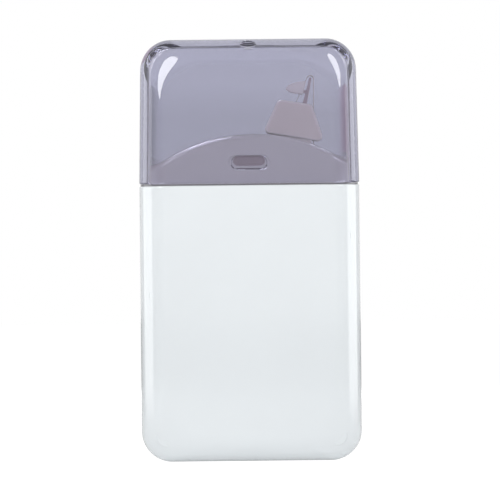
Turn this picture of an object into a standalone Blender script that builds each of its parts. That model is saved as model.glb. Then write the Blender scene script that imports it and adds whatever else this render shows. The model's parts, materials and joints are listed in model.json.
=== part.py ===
"""Pocket correction tape, standing on its base with the cap up.

Units are metres. X runs across the front, Y from the front face to the back, Z up.
The origin is the centre of the base, in the middle of the depth.
"""

import math

import bmesh
import bpy
from mathutils import Vector

# Outer shell
BODY_WIDTH = 0.0360
BODY_HEIGHT = 0.0451  # base to shoulder
CORNER_RADIUS = 0.0050  # corners of the front view
EDGE_RADIUS = 0.0030  # rounding from the front face into the sides
CASE_WALL = 0.0012
SEAM_GAP = 0.0003  # between the two case shells, and between cap and shoulder

# Cap and the neck that it covers
CAP_HEIGHT = 0.0236  # rim to crown
CAP_WALL = 0.00115
CAP_ROOF = 0.0014
CAP_DRAFT = 0.00025  # how far each side leans in from rim to crown
CAP_FIT = 0.00045  # clearance of the cap round the neck
NECK_WALL = 0.0010
NECK_EDGE_RADIUS = 0.0023
DOME_RISE = 0.0085  # shoulder to the top of the arched neck
DOME_SIDE_RISE = 0.0021  # shoulder to the arch at the neck's sides
LATCH_WIDTH = 0.0069
LATCH_HEIGHT = 0.0026
LATCH_DEPTH = 0.0005
LATCH_RISE = 0.0037  # shoulder to the latch's centre
NUB_HEIGHT = 0.0003
NUB_MARGIN = 0.0003  # the nub is this much smaller than its recess all round
DIMPLE_WIDTH = 0.0030
DIMPLE_DEPTH = 0.00065
DIMPLE_TURN = math.radians(25.0)  # from the top of the crown down its front rounding

# Tape
TAPE_WIDTH = 0.0050
TAPE_LENGTH = 6.0
USED_LENGTH = 1.5  # already laid down
TAPE_THICKNESS = 0.000042  # coat and carrier film together
FILM_THICKNESS = 0.000018  # carrier film alone
STRAND_THICKNESS = 0.00012  # free strands are drawn stouter than the film

# Spools, gears and axles
FIT_GAP = 0.0003  # between pieces that seat on or run past each other
RUN_GAP = 0.0005  # between a turning piece and the shell
SUPPLY_TEETH = 44
TAKE_UP_TEETH = 18
PRESSURE_ANGLE = math.radians(20.0)
BACKLASH = 0.00016
GEAR_THICKNESS = 0.0015
GEAR_WEB = 0.0008
GEAR_RIM = 0.0016  # solid ring under the tooth roots
DISC_THICKNESS = 0.0003
DISC_MARGIN = 0.0003  # guide discs and flanges reach past a full roll by this much
SUPPLY_AXLE_RADIUS = 0.0020
HUB_WALL = 0.0013
CLUTCH_TUBE_RADIUS = 0.00045
CLUTCH_GROOVE_WIDTH = 0.0015
CLUTCH_GROOVE_DEPTH = 0.0007
CORE_SPIGOT_WALL = 0.0007
CORE_SHOULDER = 0.0009  # from the spigot out to where the tape is wound
RETAINER_THICKNESS = 0.0010
RETAINER_WALL = 0.0031
RETAINER_STEP = 0.0006  # hub tip inside the retainer is this much slimmer than the hub
TAKE_UP_CORE_RADIUS = 0.0045
TAKE_UP_AXLE_RADIUS = 0.0015
DRUM_WALL = 0.0010
DRUM_HUB_WALL = 0.0008
BOSS_WALL = 0.0008

# Applicator head, tilted in the front view
HEAD_OFFSET = 0.00736  # right of the middle
HEAD_LIFT = 0.00036  # above the dome under the head's middle
HEAD_TILT = math.radians(-9.5)
FLANGE_BOTTOM = 0.01025
FLANGE_TOP = 0.0056
FLANGE_HEIGHT = 0.0058
FLANGE_SKEW = -0.0007  # the top edge's middle, off the bottom edge's middle
FLANGE_CORNER = 0.0008
FLANGE_THICKNESS = 0.0007
HEAD_CORE_HEIGHT = 0.0036  # of the wedge between the flanges
HEAD_PIN_RADIUS = 0.0008
HEAD_PIN_SPACING = 0.0028
HEAD_PIN_RISE = 0.0028  # shoulder to the pins
TANG_RISE = 0.0008  # shoulder to the tang's lower end
OPENING_MARGIN = 0.0006  # round the head in the dome
TIP_OFFSET = 0.0028  # right of the head's middle
TIP_RISE = 0.0098  # above the head's base
TIP_RADIUS = 0.0002
BLADE_ROOT = 0.0013
BLADE_PEG_THICKNESS = 0.0007
BLADE_PEG_LENGTH = 0.0020
BLADE_PEG_WIDTH = 0.0024
EAR_THICKNESS = 0.0005
EAR_TOP = 0.0005  # below the tip
EAR_HEIGHT = 0.0022
EAR_REACH = 0.0035  # left of the blade's right side
EAR_CREST = 0.0017  # flat part of the ear's top edge
EAR_SLOPE = 0.00075  # drop from the crest to the ear's outer end
EAR_HEEL = 0.0004  # rise of the ear's lower edge towards its outer end
EAR_BAR_INSET = 0.0002  # the bar that carries the ears stops this far short of their ends

# Case closing pins and the tape's guide post
PIN_RADIUS = 0.0007
SOCKET_WALL = 0.0006
PIN_INSET = 0.0029  # from the inner walls at the base corners
PIN_DEPTH = 0.0026  # past the seam into the socket
GUIDE_POST_RADIUS = 0.0009
GUIDE_POST_DROP = 0.0030  # below the shoulder
ROOT_SINK = 0.0004  # how far posts and bosses run into the wall they stand on
LIP_HEIGHT = 0.0008  # of the rear shell's tongue past the seam, inside the front shell
LIP_INNER = 0.0001  # tongue's inner and outer faces, from the inside of the wall
LIP_OUTER = 0.0005

# Fineness of curves, and shares that keep fillets and layouts inside what carries them
ARC_STEPS = 8
EDGE_STEPS = 5
ROUND_STEPS = 48
PIN_STEPS = 20
FLANK_STEPS = 3
SMOOTH_ANGLE = math.radians(35.0)
FILLET_SHARE = 0.9  # an edge rounding is at most this share of its corner or half depth
STEEPEST_SHARE = 0.9  # the take-up's sideways place is at most this share of the gear distance
SMALLEST_SHARE = 0.3  # least module that is tried, as a share of the widest
FULL_ARCH = 0.99  # the dome's arch reaches at most this share of its radius to each side
ROOT_DEPTH = 1.25  # tooth depth below the pitch circle, in modules

# Levels along Y, measured from the middle of the tape
TAPE_EDGE = TAPE_WIDTH / 2
DISC_INNER = TAPE_EDGE + FIT_GAP
DISC_OUTER = DISC_INNER + DISC_THICKNESS
GEAR_INNER = DISC_OUTER + FIT_GAP
GEAR_OUTER = GEAR_INNER + GEAR_THICKNESS
RETAINER_OUTER = GEAR_INNER + RETAINER_THICKNESS
CASE_INNER = max(GEAR_OUTER, RETAINER_OUTER) + RUN_GAP
CASE_OUTER = CASE_INNER + CASE_WALL
NECK_OUTER = CASE_OUTER - CAP_WALL - CAP_FIT
NECK_INNER = NECK_OUTER - NECK_WALL

# Across the front
BODY_HALF = BODY_WIDTH / 2
CAVITY_HALF = BODY_HALF - CASE_WALL
NECK_HALF = BODY_HALF - CAP_WALL - CAP_FIT
CAP_RIM = BODY_HEIGHT + SEAM_GAP
CAP_TOP = CAP_RIM + CAP_HEIGHT
DOME_TOP = BODY_HEIGHT + DOME_RISE
DOME_CAMBER = DOME_RISE - DOME_SIDE_RISE
DOME_RADIUS = (NECK_HALF**2 + DOME_CAMBER**2) / (2 * DOME_CAMBER)
LATCH_HEIGHT_ABOVE_BASE = BODY_HEIGHT + LATCH_RISE

# Fits between hub, clutch ring and supply core, and of the closing pins
HUB_BORE = SUPPLY_AXLE_RADIUS + FIT_GAP
HUB_RADIUS = HUB_BORE + HUB_WALL
HUB_TIP_RADIUS = HUB_RADIUS - RETAINER_STEP
CLUTCH_RADIUS = HUB_RADIUS - CLUTCH_GROOVE_DEPTH + FIT_GAP + CLUTCH_TUBE_RADIUS
CORE_BORE = CLUTCH_RADIUS + CLUTCH_TUBE_RADIUS + FIT_GAP
CORE_SPIGOT_RADIUS = CORE_BORE + CORE_SPIGOT_WALL
SUPPLY_CORE_RADIUS = CORE_SPIGOT_RADIUS + CORE_SHOULDER
SOCKET_RADIUS = PIN_RADIUS + FIT_GAP + SOCKET_WALL

# Wound radii, from the length of tape on each spool
FULL_SUPPLY_RADIUS = math.sqrt(SUPPLY_CORE_RADIUS**2 + TAPE_LENGTH * TAPE_THICKNESS / math.pi)
SUPPLY_ROLL_RADIUS = math.sqrt(
    SUPPLY_CORE_RADIUS**2 + (TAPE_LENGTH - USED_LENGTH) * TAPE_THICKNESS / math.pi
)
FULL_TAKE_UP_RADIUS = math.sqrt(TAKE_UP_CORE_RADIUS**2 + TAPE_LENGTH * FILM_THICKNESS / math.pi)
TAKE_UP_ROLL_RADIUS = math.sqrt(TAKE_UP_CORE_RADIUS**2 + USED_LENGTH * FILM_THICKNESS / math.pi)
GUIDE_DISC_RADIUS = FULL_SUPPLY_RADIUS + DISC_MARGIN
TAKE_UP_FLANGE_RADIUS = FULL_TAKE_UP_RADIUS + DISC_MARGIN


def dome_height(x):
    """Height of the arched neck above the base at this x."""
    return DOME_TOP - DOME_RADIUS + math.sqrt(DOME_RADIUS**2 - x * x)


def limited_edge(edge, corner, half_depth):
    """An edge rounding that stays inside its corner and its half depth."""
    return min(edge, FILLET_SHARE * corner, FILLET_SHARE * half_depth)


def gear_clearance():
    """From the straight inner wall to a gear's teeth, which clear the rounded inner edge."""
    edge = limited_edge(EDGE_RADIUS - CASE_WALL, CORNER_RADIUS - CASE_WALL, CASE_INNER)
    into_edge = max(GEAR_OUTER - CASE_INNER + edge, 0.0)
    return RUN_GAP + edge - math.sqrt(edge**2 - into_edge**2)


def gear_layout(module):
    """Supply and take-up axes in (x, z) for gears of this module, meshed and close to the shell."""
    distance = module * (SUPPLY_TEETH + TAKE_UP_TEETH) / 2
    supply = Vector((0.0, CASE_WALL + gear_clearance() + module * (SUPPLY_TEETH + 2) / 2))
    reach = max(TAKE_UP_FLANGE_RADIUS + RUN_GAP, module * (TAKE_UP_TEETH + 2) / 2 + gear_clearance())
    aside = min(CAVITY_HALF - reach, STEEPEST_SHARE * distance)
    take_up = supply + Vector((-aside, math.sqrt(distance**2 - aside**2)))
    return supply, take_up


def fitted_module():
    """Largest module whose gears stay inside the side walls and under the shoulder."""
    widest = 2 * (CAVITY_HALF - gear_clearance()) / (SUPPLY_TEETH + 2)
    ceiling = BODY_HEIGHT - CASE_WALL - RUN_GAP
    low, high = SMALLEST_SHARE * widest, widest
    for _ in range(40):
        middle = (low + high) / 2
        top = gear_layout(middle)[1].y + middle * (TAKE_UP_TEETH + 2) / 2
        low, high = (middle, high) if top < ceiling else (low, middle)
    return low


GEAR_MODULE = fitted_module()
SUPPLY_AXIS, TAKE_UP_AXIS = gear_layout(GEAR_MODULE)
MESH_ANGLE = math.atan2(TAKE_UP_AXIS.y - SUPPLY_AXIS.y, TAKE_UP_AXIS.x - SUPPLY_AXIS.x)

# Head places in the front view
HEAD_BASE = Vector((HEAD_OFFSET, dome_height(HEAD_OFFSET) + HEAD_LIFT))
TIP_CENTRE = HEAD_BASE + Vector((TIP_OFFSET, TIP_RISE - TIP_RADIUS))
FLANGE_INNER = TAPE_EDGE + FIT_GAP
FLANGE_OUTER = FLANGE_INNER + FLANGE_THICKNESS


def clear_scene():
    for obj in list(bpy.data.objects):
        bpy.data.objects.remove(obj, do_unlink=True)


def finish(name, colour, roughness, transmission=0.0):
    """A Principled material in one colour."""
    material = bpy.data.materials.new(name)
    material.use_nodes = True
    shader = material.node_tree.nodes["Principled BSDF"]
    shader.inputs["Base Color"].default_value = (*colour, 1.0)
    shader.inputs["Roughness"].default_value = roughness
    shader.inputs["Metallic"].default_value = 0.0
    shader.inputs["Transmission Weight"].default_value = transmission
    return material


def piece(name, bm, material=None, place=(0.0, 0.0)):
    """An object named for its piece, with its origin at (x, z) in the middle of the depth."""
    bmesh.ops.recalc_face_normals(bm, faces=bm.faces)
    mesh = bpy.data.meshes.new(name)
    bm.to_mesh(mesh)
    bm.free()
    mesh.shade_smooth()
    mesh.set_sharp_from_angle(angle=SMOOTH_ANGLE)
    obj = bpy.data.objects.new(name, mesh)
    obj.location = (place[0], 0.0, place[1])
    bpy.context.scene.collection.objects.link(obj)
    if material:
        mesh.materials.append(material)
    return obj


def helper(name, bm, place=(0.0, 0.0)):
    """A shape that only cuts or joins another piece."""
    obj = piece(name, bm, place=place)
    obj.hide_render = True
    obj.display_type = "WIRE"
    return obj


def combine(target, operation, *others):
    """Booleans on the target, in the order given."""
    for other in others:
        modifier = target.modifiers.new(other.name, "BOOLEAN")
        modifier.operation = operation
        modifier.solver = "EXACT"
        modifier.object = other


def loft(rings):
    """A closed solid through rings with equal numbers of points."""
    bm = bmesh.new()
    loops = [[bm.verts.new(point) for point in ring] for ring in rings]
    for lower, upper in zip(loops, loops[1:]):
        for i, j in zip(range(-1, len(lower) - 1), range(len(lower))):
            bm.faces.new((lower[i], lower[j], upper[j], upper[i]))
    bm.faces.new(loops[0])
    bm.faces.new(loops[-1])
    return bm


def prism(outline, y0, y1):
    """An outline of (x, z) points, extruded from y0 to y1."""
    return loft([[(x, y, z) for x, z in outline] for y in (y0, y1)])


def add(bm, other):
    """Moves the other mesh into this one as a separate body."""
    mesh = bpy.data.meshes.new("joined")
    bmesh.ops.recalc_face_normals(other, faces=other.faces)
    other.to_mesh(mesh)
    other.free()
    bm.from_mesh(mesh)
    bpy.data.meshes.remove(mesh)
    return bm


def turned(profile, steps=ROUND_STEPS):
    """A closed outline of (radius, y) points, spun round the Y axis."""
    bm = bmesh.new()
    verts = [bm.verts.new((radius, y, 0.0)) for radius, y in profile]
    edges = [bm.edges.new((verts[i - 1], verts[i])) for i in range(len(verts))]
    bmesh.ops.spin(
        bm, geom=verts + edges, cent=(0, 0, 0), axis=(0, 1, 0), angle=math.tau, steps=steps, use_merge=True
    )
    bmesh.ops.remove_doubles(bm, verts=bm.verts, dist=1e-7)
    bmesh.ops.dissolve_degenerate(bm, edges=bm.edges, dist=1e-7)
    return bm


def tube(inner, outer, y0, y1, steps=ROUND_STEPS):
    """A plain ring round the Y axis."""
    return turned([(inner, y0), (outer, y0), (outer, y1), (inner, y1)], steps)


def rod(centre, radius, y0, y1, steps=PIN_STEPS):
    """A round bar along Y at (x, z)."""
    turn = [math.tau * i / steps for i in range(steps)]
    return prism([(centre[0] + radius * math.cos(a), centre[1] + radius * math.sin(a)) for a in turn], y0, y1)


def arc(centre, radius, start, end, steps=ARC_STEPS):
    """Points (x, z) along an arc, both ends included."""
    angles = [start + (end - start) * i / steps for i in range(steps + 1)]
    return [Vector((centre[0] + radius * math.cos(a), centre[1] + radius * math.sin(a))) for a in angles]


def rounded(corners, radius, steps=4):
    """A convex outline of (x, z) corners, anticlockwise, with each corner rounded."""
    points = []
    for i, corner in enumerate(corners):
        before = (corners[i - 1] - corner).normalized()
        after = (corners[(i + 1) % len(corners)] - corner).normalized()
        half = before.angle(after) / 2
        centre = corner + (before + after).normalized() * radius / math.sin(half)
        start = math.atan2(-before.x, before.y) + math.pi
        turn = math.pi - 2 * half
        points += arc(centre, radius, start, start + turn, steps)
    return points


def ellipse(centre, width, height, steps=24):
    """Points (x, z) round an ellipse."""
    turn = [math.tau * i / steps for i in range(steps)]
    return [(centre[0] + width / 2 * math.cos(a), centre[1] + height / 2 * math.sin(a)) for a in turn]


def slot(centre, width, height):
    """Points (x, z) round a slot with round ends."""
    radius = height / 2
    reach = width / 2 - radius
    right = arc((centre[0] + reach, centre[1]), radius, -math.pi / 2, math.pi / 2)
    left = arc((centre[0] - reach, centre[1]), radius, math.pi / 2, math.pi * 3 / 2)
    return [*right, *left]


def pocket_outline(half, flat_end, round_end, corner):
    """Front-view outline with a flat end and, at the other end, two rounded corners."""
    way = 1 if round_end > flat_end else -1
    centre_z = round_end - way * corner
    right = arc((half - corner, centre_z), corner, 0.0, way * math.pi / 2)
    left = arc((corner - half, centre_z), corner, way * math.pi / 2, way * math.pi)
    return [Vector((half, flat_end)), *right, *left, Vector((-half, flat_end))]


def slab(half, flat_end, round_end, half_depth, corner, edge):
    """A pocket outline given a depth, its front and back edges rounded on all but the flat end."""
    way = 1 if round_end > flat_end else -1
    edge = limited_edge(edge, corner, half_depth)
    rings = []
    for step in range(EDGE_STEPS + 1):
        turn = math.pi / 2 * step / EDGE_STEPS
        inset = edge * (1 - math.sin(turn))
        y = -half_depth + edge * (1 - math.cos(turn))
        outline = pocket_outline(half - inset, flat_end, round_end - way * inset, corner - inset)
        rings.append((y, outline))
    rings += [(-y, outline) for y, outline in reversed(rings)]
    return loft([[(x, y, z) for x, z in outline] for y, outline in rings])


def upright_block(half_x, half_y, corner, z0, z1):
    """A block with rounded upright edges."""
    quarters = ((1, 1), (-1, 1), (-1, -1), (1, -1))
    outline = rounded([Vector((half_x * i, half_y * j)) for i, j in quarters], corner, ARC_STEPS)
    return loft([[(x, y, z) for x, y in outline] for z in (z0, z1)])


def dome_outline(half, inset, bottom):
    """Front view of the arched neck, its arch lowered by the inset."""
    radius = DOME_RADIUS - inset
    centre = (0.0, DOME_TOP - DOME_RADIUS)
    spread = math.asin(min(half / radius, FULL_ARCH))
    crown = arc(centre, radius, math.pi / 2 - spread, math.pi / 2 + spread, 3 * ARC_STEPS)
    return [Vector((crown[0].x, bottom)), *crown, Vector((crown[-1].x, bottom))]


def gear_outline(teeth, phase):
    """Involute tooth outline as (x, z) points, with a tooth's middle at the phase angle."""
    pitch = GEAR_MODULE * teeth / 2
    base = pitch * math.cos(PRESSURE_ANGLE)
    root = pitch - ROOT_DEPTH * GEAR_MODULE
    tip = pitch + GEAR_MODULE
    flank_foot = max(base, root)
    thickness_angle = math.pi / (2 * teeth) - BACKLASH / (2 * pitch)

    def half_angle(radius):
        slope = math.acos(min(base / radius, 1.0))
        return thickness_angle + involute(PRESSURE_ANGLE) - involute(slope)

    radii = [flank_foot + (tip - flank_foot) * i / FLANK_STEPS for i in range(FLANK_STEPS + 1)]
    flank = [(root, half_angle(flank_foot))] * (root < base) + [(r, half_angle(r)) for r in radii]
    points = []
    for tooth in range(teeth):
        middle = phase + math.tau * tooth / teeth
        rising = [(r, middle - a) for r, a in flank]
        falling = [(r, middle + a) for r, a in reversed(flank)]
        points += [(r * math.cos(a), r * math.sin(a)) for r, a in rising + falling]
    return points


def involute(angle):
    return math.tan(angle) - angle


def root_radius(teeth):
    return GEAR_MODULE * (teeth / 2 - ROOT_DEPTH)


def tangent_run(first, first_wrap, second, second_wrap):
    """Ends of a taut run between two circles: a positive wrap keeps its circle on the run's left."""
    span = second - first
    turn = math.atan2(span.y, span.x) - math.acos((first_wrap - second_wrap) / span.length)
    right = Vector((math.cos(turn), math.sin(turn)))
    return first + right * first_wrap, second + right * second_wrap


def ribbon(centreline):
    """Outline of a strand of tape that follows (x, z) points."""
    left, right = [], []
    for i, point in enumerate(centreline):
        before = centreline[max(i - 1, 0)]
        after = centreline[min(i + 1, len(centreline) - 1)]
        along = (after - before).normalized()
        across = Vector((-along.y, along.x)) * STRAND_THICKNESS / 2
        left.append(point + across)
        right.append(point - across)
    return left + right[::-1]


# Taut runs of the tape past the tip
STRAND_STANDOFF = FIT_GAP + STRAND_THICKNESS / 2
TIP_WRAP = TIP_RADIUS + STRAND_STANDOFF
FEED_RUN = tangent_run(SUPPLY_AXIS, SUPPLY_ROLL_RADIUS + STRAND_STANDOFF, TIP_CENTRE, TIP_WRAP)
RETURN_RUN = tangent_run(TIP_CENTRE, TIP_WRAP, TAKE_UP_AXIS, -TAKE_UP_ROLL_RADIUS - STRAND_STANDOFF)


def along_run(run, height):
    """X of a taut run at this height."""
    start, end = run
    return start.x + (end.x - start.x) * (height - start.y) / (end.y - start.y)


def head_point(across, up):
    """Front-view point in the tilted frame of the applicator head."""
    cos, sin = math.cos(HEAD_TILT), math.sin(HEAD_TILT)
    return HEAD_BASE + Vector((across * cos - up * sin, across * sin + up * cos))


def pin_places():
    """Closing pins in (x, z): the base corners, beside the feed strand, and between the two spools."""
    side = CAVITY_HALF - PIN_INSET
    base = CASE_WALL + PIN_INSET
    by_wall = CAVITY_HALF - SOCKET_RADIUS - FIT_GAP
    left_height = (SUPPLY_AXIS.y + TAKE_UP_AXIS.y) / 2
    return [(side, base), (-side, base), (by_wall, TAKE_UP_AXIS.y), (-by_wall, left_height)]


def head_pin_places():
    height = BODY_HEIGHT + HEAD_PIN_RISE
    middle = (along_run(FEED_RUN, height) + along_run(RETURN_RUN, height)) / 2
    return [(middle - HEAD_PIN_SPACING / 2, height), (middle + HEAD_PIN_SPACING / 2, height)]


def neck(inset, bottom):
    """The arched neck as a block, and the arch that trims it."""
    block = upright_block(
        NECK_HALF - inset, NECK_OUTER - inset, NECK_EDGE_RADIUS - inset, bottom, DOME_TOP + CASE_WALL
    )
    block = helper("neck_block", block)
    arch = prism(dome_outline(BODY_HALF, inset, bottom - CASE_WALL), -CASE_OUTER, CASE_OUTER)
    combine(block, "INTERSECT", helper("neck_arch", arch))
    return block


def case_shell(name, side, material):
    """One hollow half of the case, on the side of the seam given by the sign of y."""
    wall = CASE_WALL
    shell = piece(name, slab(BODY_HALF, BODY_HEIGHT, 0.0, CASE_OUTER, CORNER_RADIUS, EDGE_RADIUS), material)
    hollow = slab(
        CAVITY_HALF, BODY_HEIGHT - wall, wall, CASE_INNER, CORNER_RADIUS - wall, EDGE_RADIUS - wall
    )
    neck_foot = BODY_HEIGHT - wall
    mouth = [
        (HEAD_BASE.x - FLANGE_BOTTOM / 2 - OPENING_MARGIN, neck_foot),
        (HEAD_BASE.x + FLANGE_BOTTOM / 2 + OPENING_MARGIN, neck_foot),
        (HEAD_BASE.x + FLANGE_BOTTOM / 2 + OPENING_MARGIN, DOME_TOP + wall),
        (HEAD_BASE.x - FLANGE_BOTTOM / 2 - OPENING_MARGIN, DOME_TOP + wall),
    ]
    mouth_depth = FLANGE_OUTER + OPENING_MARGIN
    latch = slot((0.0, LATCH_HEIGHT_ABOVE_BASE), LATCH_WIDTH, LATCH_HEIGHT)
    latch_face = side * (NECK_OUTER - LATCH_DEPTH), side * CASE_OUTER
    seam_block = pocket_outline(BODY_WIDTH, -BODY_HEIGHT, 2 * CAP_TOP, CORNER_RADIUS)
    combine(shell, "UNION", neck(0.0, BODY_HEIGHT - wall / 2))
    combine(
        shell,
        "DIFFERENCE",
        helper(name + "_hollow", hollow),
        neck(NECK_WALL, neck_foot - wall),
        helper(name + "_mouth", prism(mouth, -mouth_depth, mouth_depth)),
        helper(name + "_latch", prism(latch, *latch_face)),
        helper(name + "_seam", prism(seam_block, side * SEAM_GAP / 2, -side * BODY_WIDTH)),
    )
    return shell


def wall_outline(offset, top):
    """Front view of the case wall, this far outside its inner face, open at the top."""
    corner = CORNER_RADIUS - CASE_WALL + offset
    return pocket_outline(CAVITY_HALF + offset, top, CASE_WALL - offset, corner)


def seam_tongue(inner, outer, y0, y1):
    """A U-shaped rail within the wall, from the base up to the shoulder."""
    top = BODY_HEIGHT - CASE_WALL - FIT_GAP
    return prism(wall_outline(outer, top) + wall_outline(inner, top)[::-1], y0, y1)


def build_rear_case(material):
    shell = case_shell("rear_case", 1, material)
    tongue = seam_tongue(LIP_INNER, LIP_OUTER, -LIP_HEIGHT, SEAM_GAP + ROOT_SINK)
    combine(shell, "UNION", helper("rear_tongue", tongue))
    root = CASE_INNER + ROOT_SINK
    posts = rod(SUPPLY_AXIS, SUPPLY_AXLE_RADIUS, -CASE_INNER + FIT_GAP, root, ROUND_STEPS)
    add(posts, rod(TAKE_UP_AXIS, TAKE_UP_AXLE_RADIUS, -CASE_INNER + FIT_GAP, root, ROUND_STEPS))
    for place in pin_places():
        add(posts, rod(place, SOCKET_RADIUS, SEAM_GAP, root))
    guide_height = BODY_HEIGHT - GUIDE_POST_DROP
    guide_x = along_run(FEED_RUN, guide_height) - STRAND_STANDOFF - GUIDE_POST_RADIUS
    add(posts, rod((guide_x, guide_height), GUIDE_POST_RADIUS, -TAPE_EDGE, root))
    for place in head_pin_places():
        add(posts, rod(place, HEAD_PIN_RADIUS, -TAPE_EDGE, NECK_INNER + ROOT_SINK))
    combine(shell, "UNION", helper("rear_posts", posts))
    bores = bmesh.new()
    for place in pin_places():
        add(bores, rod(place, PIN_RADIUS + FIT_GAP, -SEAM_GAP, PIN_DEPTH + FIT_GAP))
    combine(shell, "DIFFERENCE", helper("rear_sockets", bores))
    return shell


def build_front_case(material):
    shell = case_shell("front_case", -1, material)
    root = -CASE_INNER - ROOT_SINK
    bosses = bmesh.new()
    for axis, radius, reach in (
        (SUPPLY_AXIS, SUPPLY_AXLE_RADIUS, RETAINER_OUTER + FIT_GAP),
        (TAKE_UP_AXIS, TAKE_UP_AXLE_RADIUS, GEAR_INNER + FIT_GAP),
    ):
        boss = tube(radius + FIT_GAP, radius + FIT_GAP + BOSS_WALL, root, -reach)
        bmesh.ops.translate(boss, vec=(axis.x, 0.0, axis.y), verts=boss.verts)
        add(bosses, boss)
    for place in pin_places():
        add(bosses, rod(place, SOCKET_RADIUS, root, -SEAM_GAP))
    combine(shell, "UNION", helper("front_bosses", bosses))
    pins = bmesh.new()
    for place in pin_places():
        add(pins, rod(place, PIN_RADIUS, -SEAM_GAP - PIN_RADIUS, PIN_DEPTH))
    combine(shell, "UNION", helper("front_pins", pins))
    groove = seam_tongue(-CASE_WALL, LIP_OUTER + FIT_GAP, -LIP_HEIGHT - FIT_GAP, SEAM_GAP)
    combine(shell, "DIFFERENCE", helper("front_groove", groove))
    return shell


def drafted(bm):
    """Leans the cap's sides in towards its crown."""
    for vert in bm.verts:
        share = (vert.co.z - CAP_RIM) / CAP_HEIGHT
        vert.co.x *= 1 - CAP_DRAFT / BODY_HALF * share
        vert.co.y *= 1 - CAP_DRAFT / BODY_HALF * share
    return bm


def build_cap(material):
    outer = slab(BODY_HALF, CAP_RIM, CAP_TOP, CASE_OUTER, CORNER_RADIUS, EDGE_RADIUS)
    hollow = slab(
        BODY_HALF - CAP_WALL,
        CAP_RIM - CAP_WALL,
        CAP_TOP - CAP_ROOF,
        CASE_OUTER - CAP_WALL,
        CORNER_RADIUS - CAP_WALL,
        EDGE_RADIUS - CAP_WALL,
    )
    cap = piece("cap", drafted(outer), material)
    ball = (DIMPLE_WIDTH**2 / 4 + DIMPLE_DEPTH**2) / (2 * DIMPLE_DEPTH)
    dimple = bmesh.new()
    bmesh.ops.create_uvsphere(dimple, u_segments=24, v_segments=16, radius=ball)
    edge = limited_edge(EDGE_RADIUS, CORNER_RADIUS, CASE_OUTER)
    out = edge - DIMPLE_DEPTH + ball
    ahead, up = out * math.sin(DIMPLE_TURN), out * math.cos(DIMPLE_TURN)
    place = Vector((0.0, edge - CASE_OUTER - ahead, CAP_TOP - edge + up))
    bmesh.ops.translate(dimple, vec=place, verts=dimple.verts)
    combine(cap, "DIFFERENCE", helper("cap_hollow", drafted(hollow)), helper("cap_dimple", dimple))
    nub = slot(
        (0.0, LATCH_HEIGHT_ABOVE_BASE), LATCH_WIDTH - 2 * NUB_MARGIN, LATCH_HEIGHT - 2 * NUB_MARGIN
    )
    foot = CASE_OUTER - CAP_WALL + ROOT_SINK
    face = NECK_OUTER + CAP_FIT - NUB_HEIGHT
    nubs = add(prism(nub, -foot, -face), prism(nub, face, foot))
    combine(cap, "UNION", helper("cap_nubs", nubs))
    return cap


def build_supply_gear(material):
    gear = prism(gear_outline(SUPPLY_TEETH, MESH_ANGLE), GEAR_INNER, GEAR_OUTER)
    gear = piece("supply_gear", gear, material, SUPPLY_AXIS)
    groove = CLUTCH_GROOVE_WIDTH / 2
    groove_radius = HUB_RADIUS - CLUTCH_GROOVE_DEPTH
    hub = turned(
        [
            (0.0, -RETAINER_OUTER),
            (HUB_TIP_RADIUS, -RETAINER_OUTER),
            (HUB_TIP_RADIUS, -DISC_OUTER),
            (HUB_RADIUS, -DISC_OUTER),
            (HUB_RADIUS, -groove),
            (groove_radius, -groove),
            (groove_radius, groove),
            (HUB_RADIUS, groove),
            (HUB_RADIUS, GEAR_INNER + GEAR_WEB / 2),
            (0.0, GEAR_INNER + GEAR_WEB / 2),
        ]
    )
    pocket = tube(
        HUB_RADIUS + HUB_WALL, root_radius(SUPPLY_TEETH) - GEAR_RIM, GEAR_INNER + GEAR_WEB, CASE_OUTER
    )
    bore = rod((0.0, 0.0), HUB_BORE, -CASE_OUTER, CASE_OUTER, ROUND_STEPS)
    combine(gear, "UNION", helper("supply_hub", hub, SUPPLY_AXIS))
    combine(
        gear,
        "DIFFERENCE",
        helper("supply_web_pocket", pocket, SUPPLY_AXIS),
        helper("supply_bore", bore, SUPPLY_AXIS),
    )
    return gear


def build_clutch_ring(material):
    tube_outline = ellipse((CLUTCH_RADIUS, 0.0), 2 * CLUTCH_TUBE_RADIUS, 2 * CLUTCH_TUBE_RADIUS, 10)
    return piece("clutch_ring", turned(tube_outline, 36), material, SUPPLY_AXIS)


def build_supply_core(material):
    core = turned(
        [
            (CORE_BORE, -DISC_OUTER),
            (CORE_SPIGOT_RADIUS, -DISC_OUTER),
            (CORE_SPIGOT_RADIUS, -TAPE_EDGE),
            (SUPPLY_CORE_RADIUS, -TAPE_EDGE),
            (SUPPLY_CORE_RADIUS, TAPE_EDGE),
            (CORE_SPIGOT_RADIUS, TAPE_EDGE),
            (CORE_SPIGOT_RADIUS, DISC_OUTER),
            (CORE_BORE, DISC_OUTER),
        ]
    )
    return piece("supply_core", core, material, SUPPLY_AXIS)


def build_guide_disc(name, side, material):
    disc = tube(CORE_SPIGOT_RADIUS + FIT_GAP, GUIDE_DISC_RADIUS, side * DISC_INNER, side * DISC_OUTER)
    return piece(name, disc, material, SUPPLY_AXIS)


def build_supply_retainer(material):
    inner = HUB_TIP_RADIUS + FIT_GAP
    ring = tube(inner, inner + RETAINER_WALL, -RETAINER_OUTER, -GEAR_INNER)
    return piece("supply_retainer", ring, material, SUPPLY_AXIS)


def build_roll(name, core_radius, radius, axis, material):
    return piece(name, tube(core_radius + FIT_GAP, radius, -TAPE_EDGE, TAPE_EDGE), material, axis)


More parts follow.
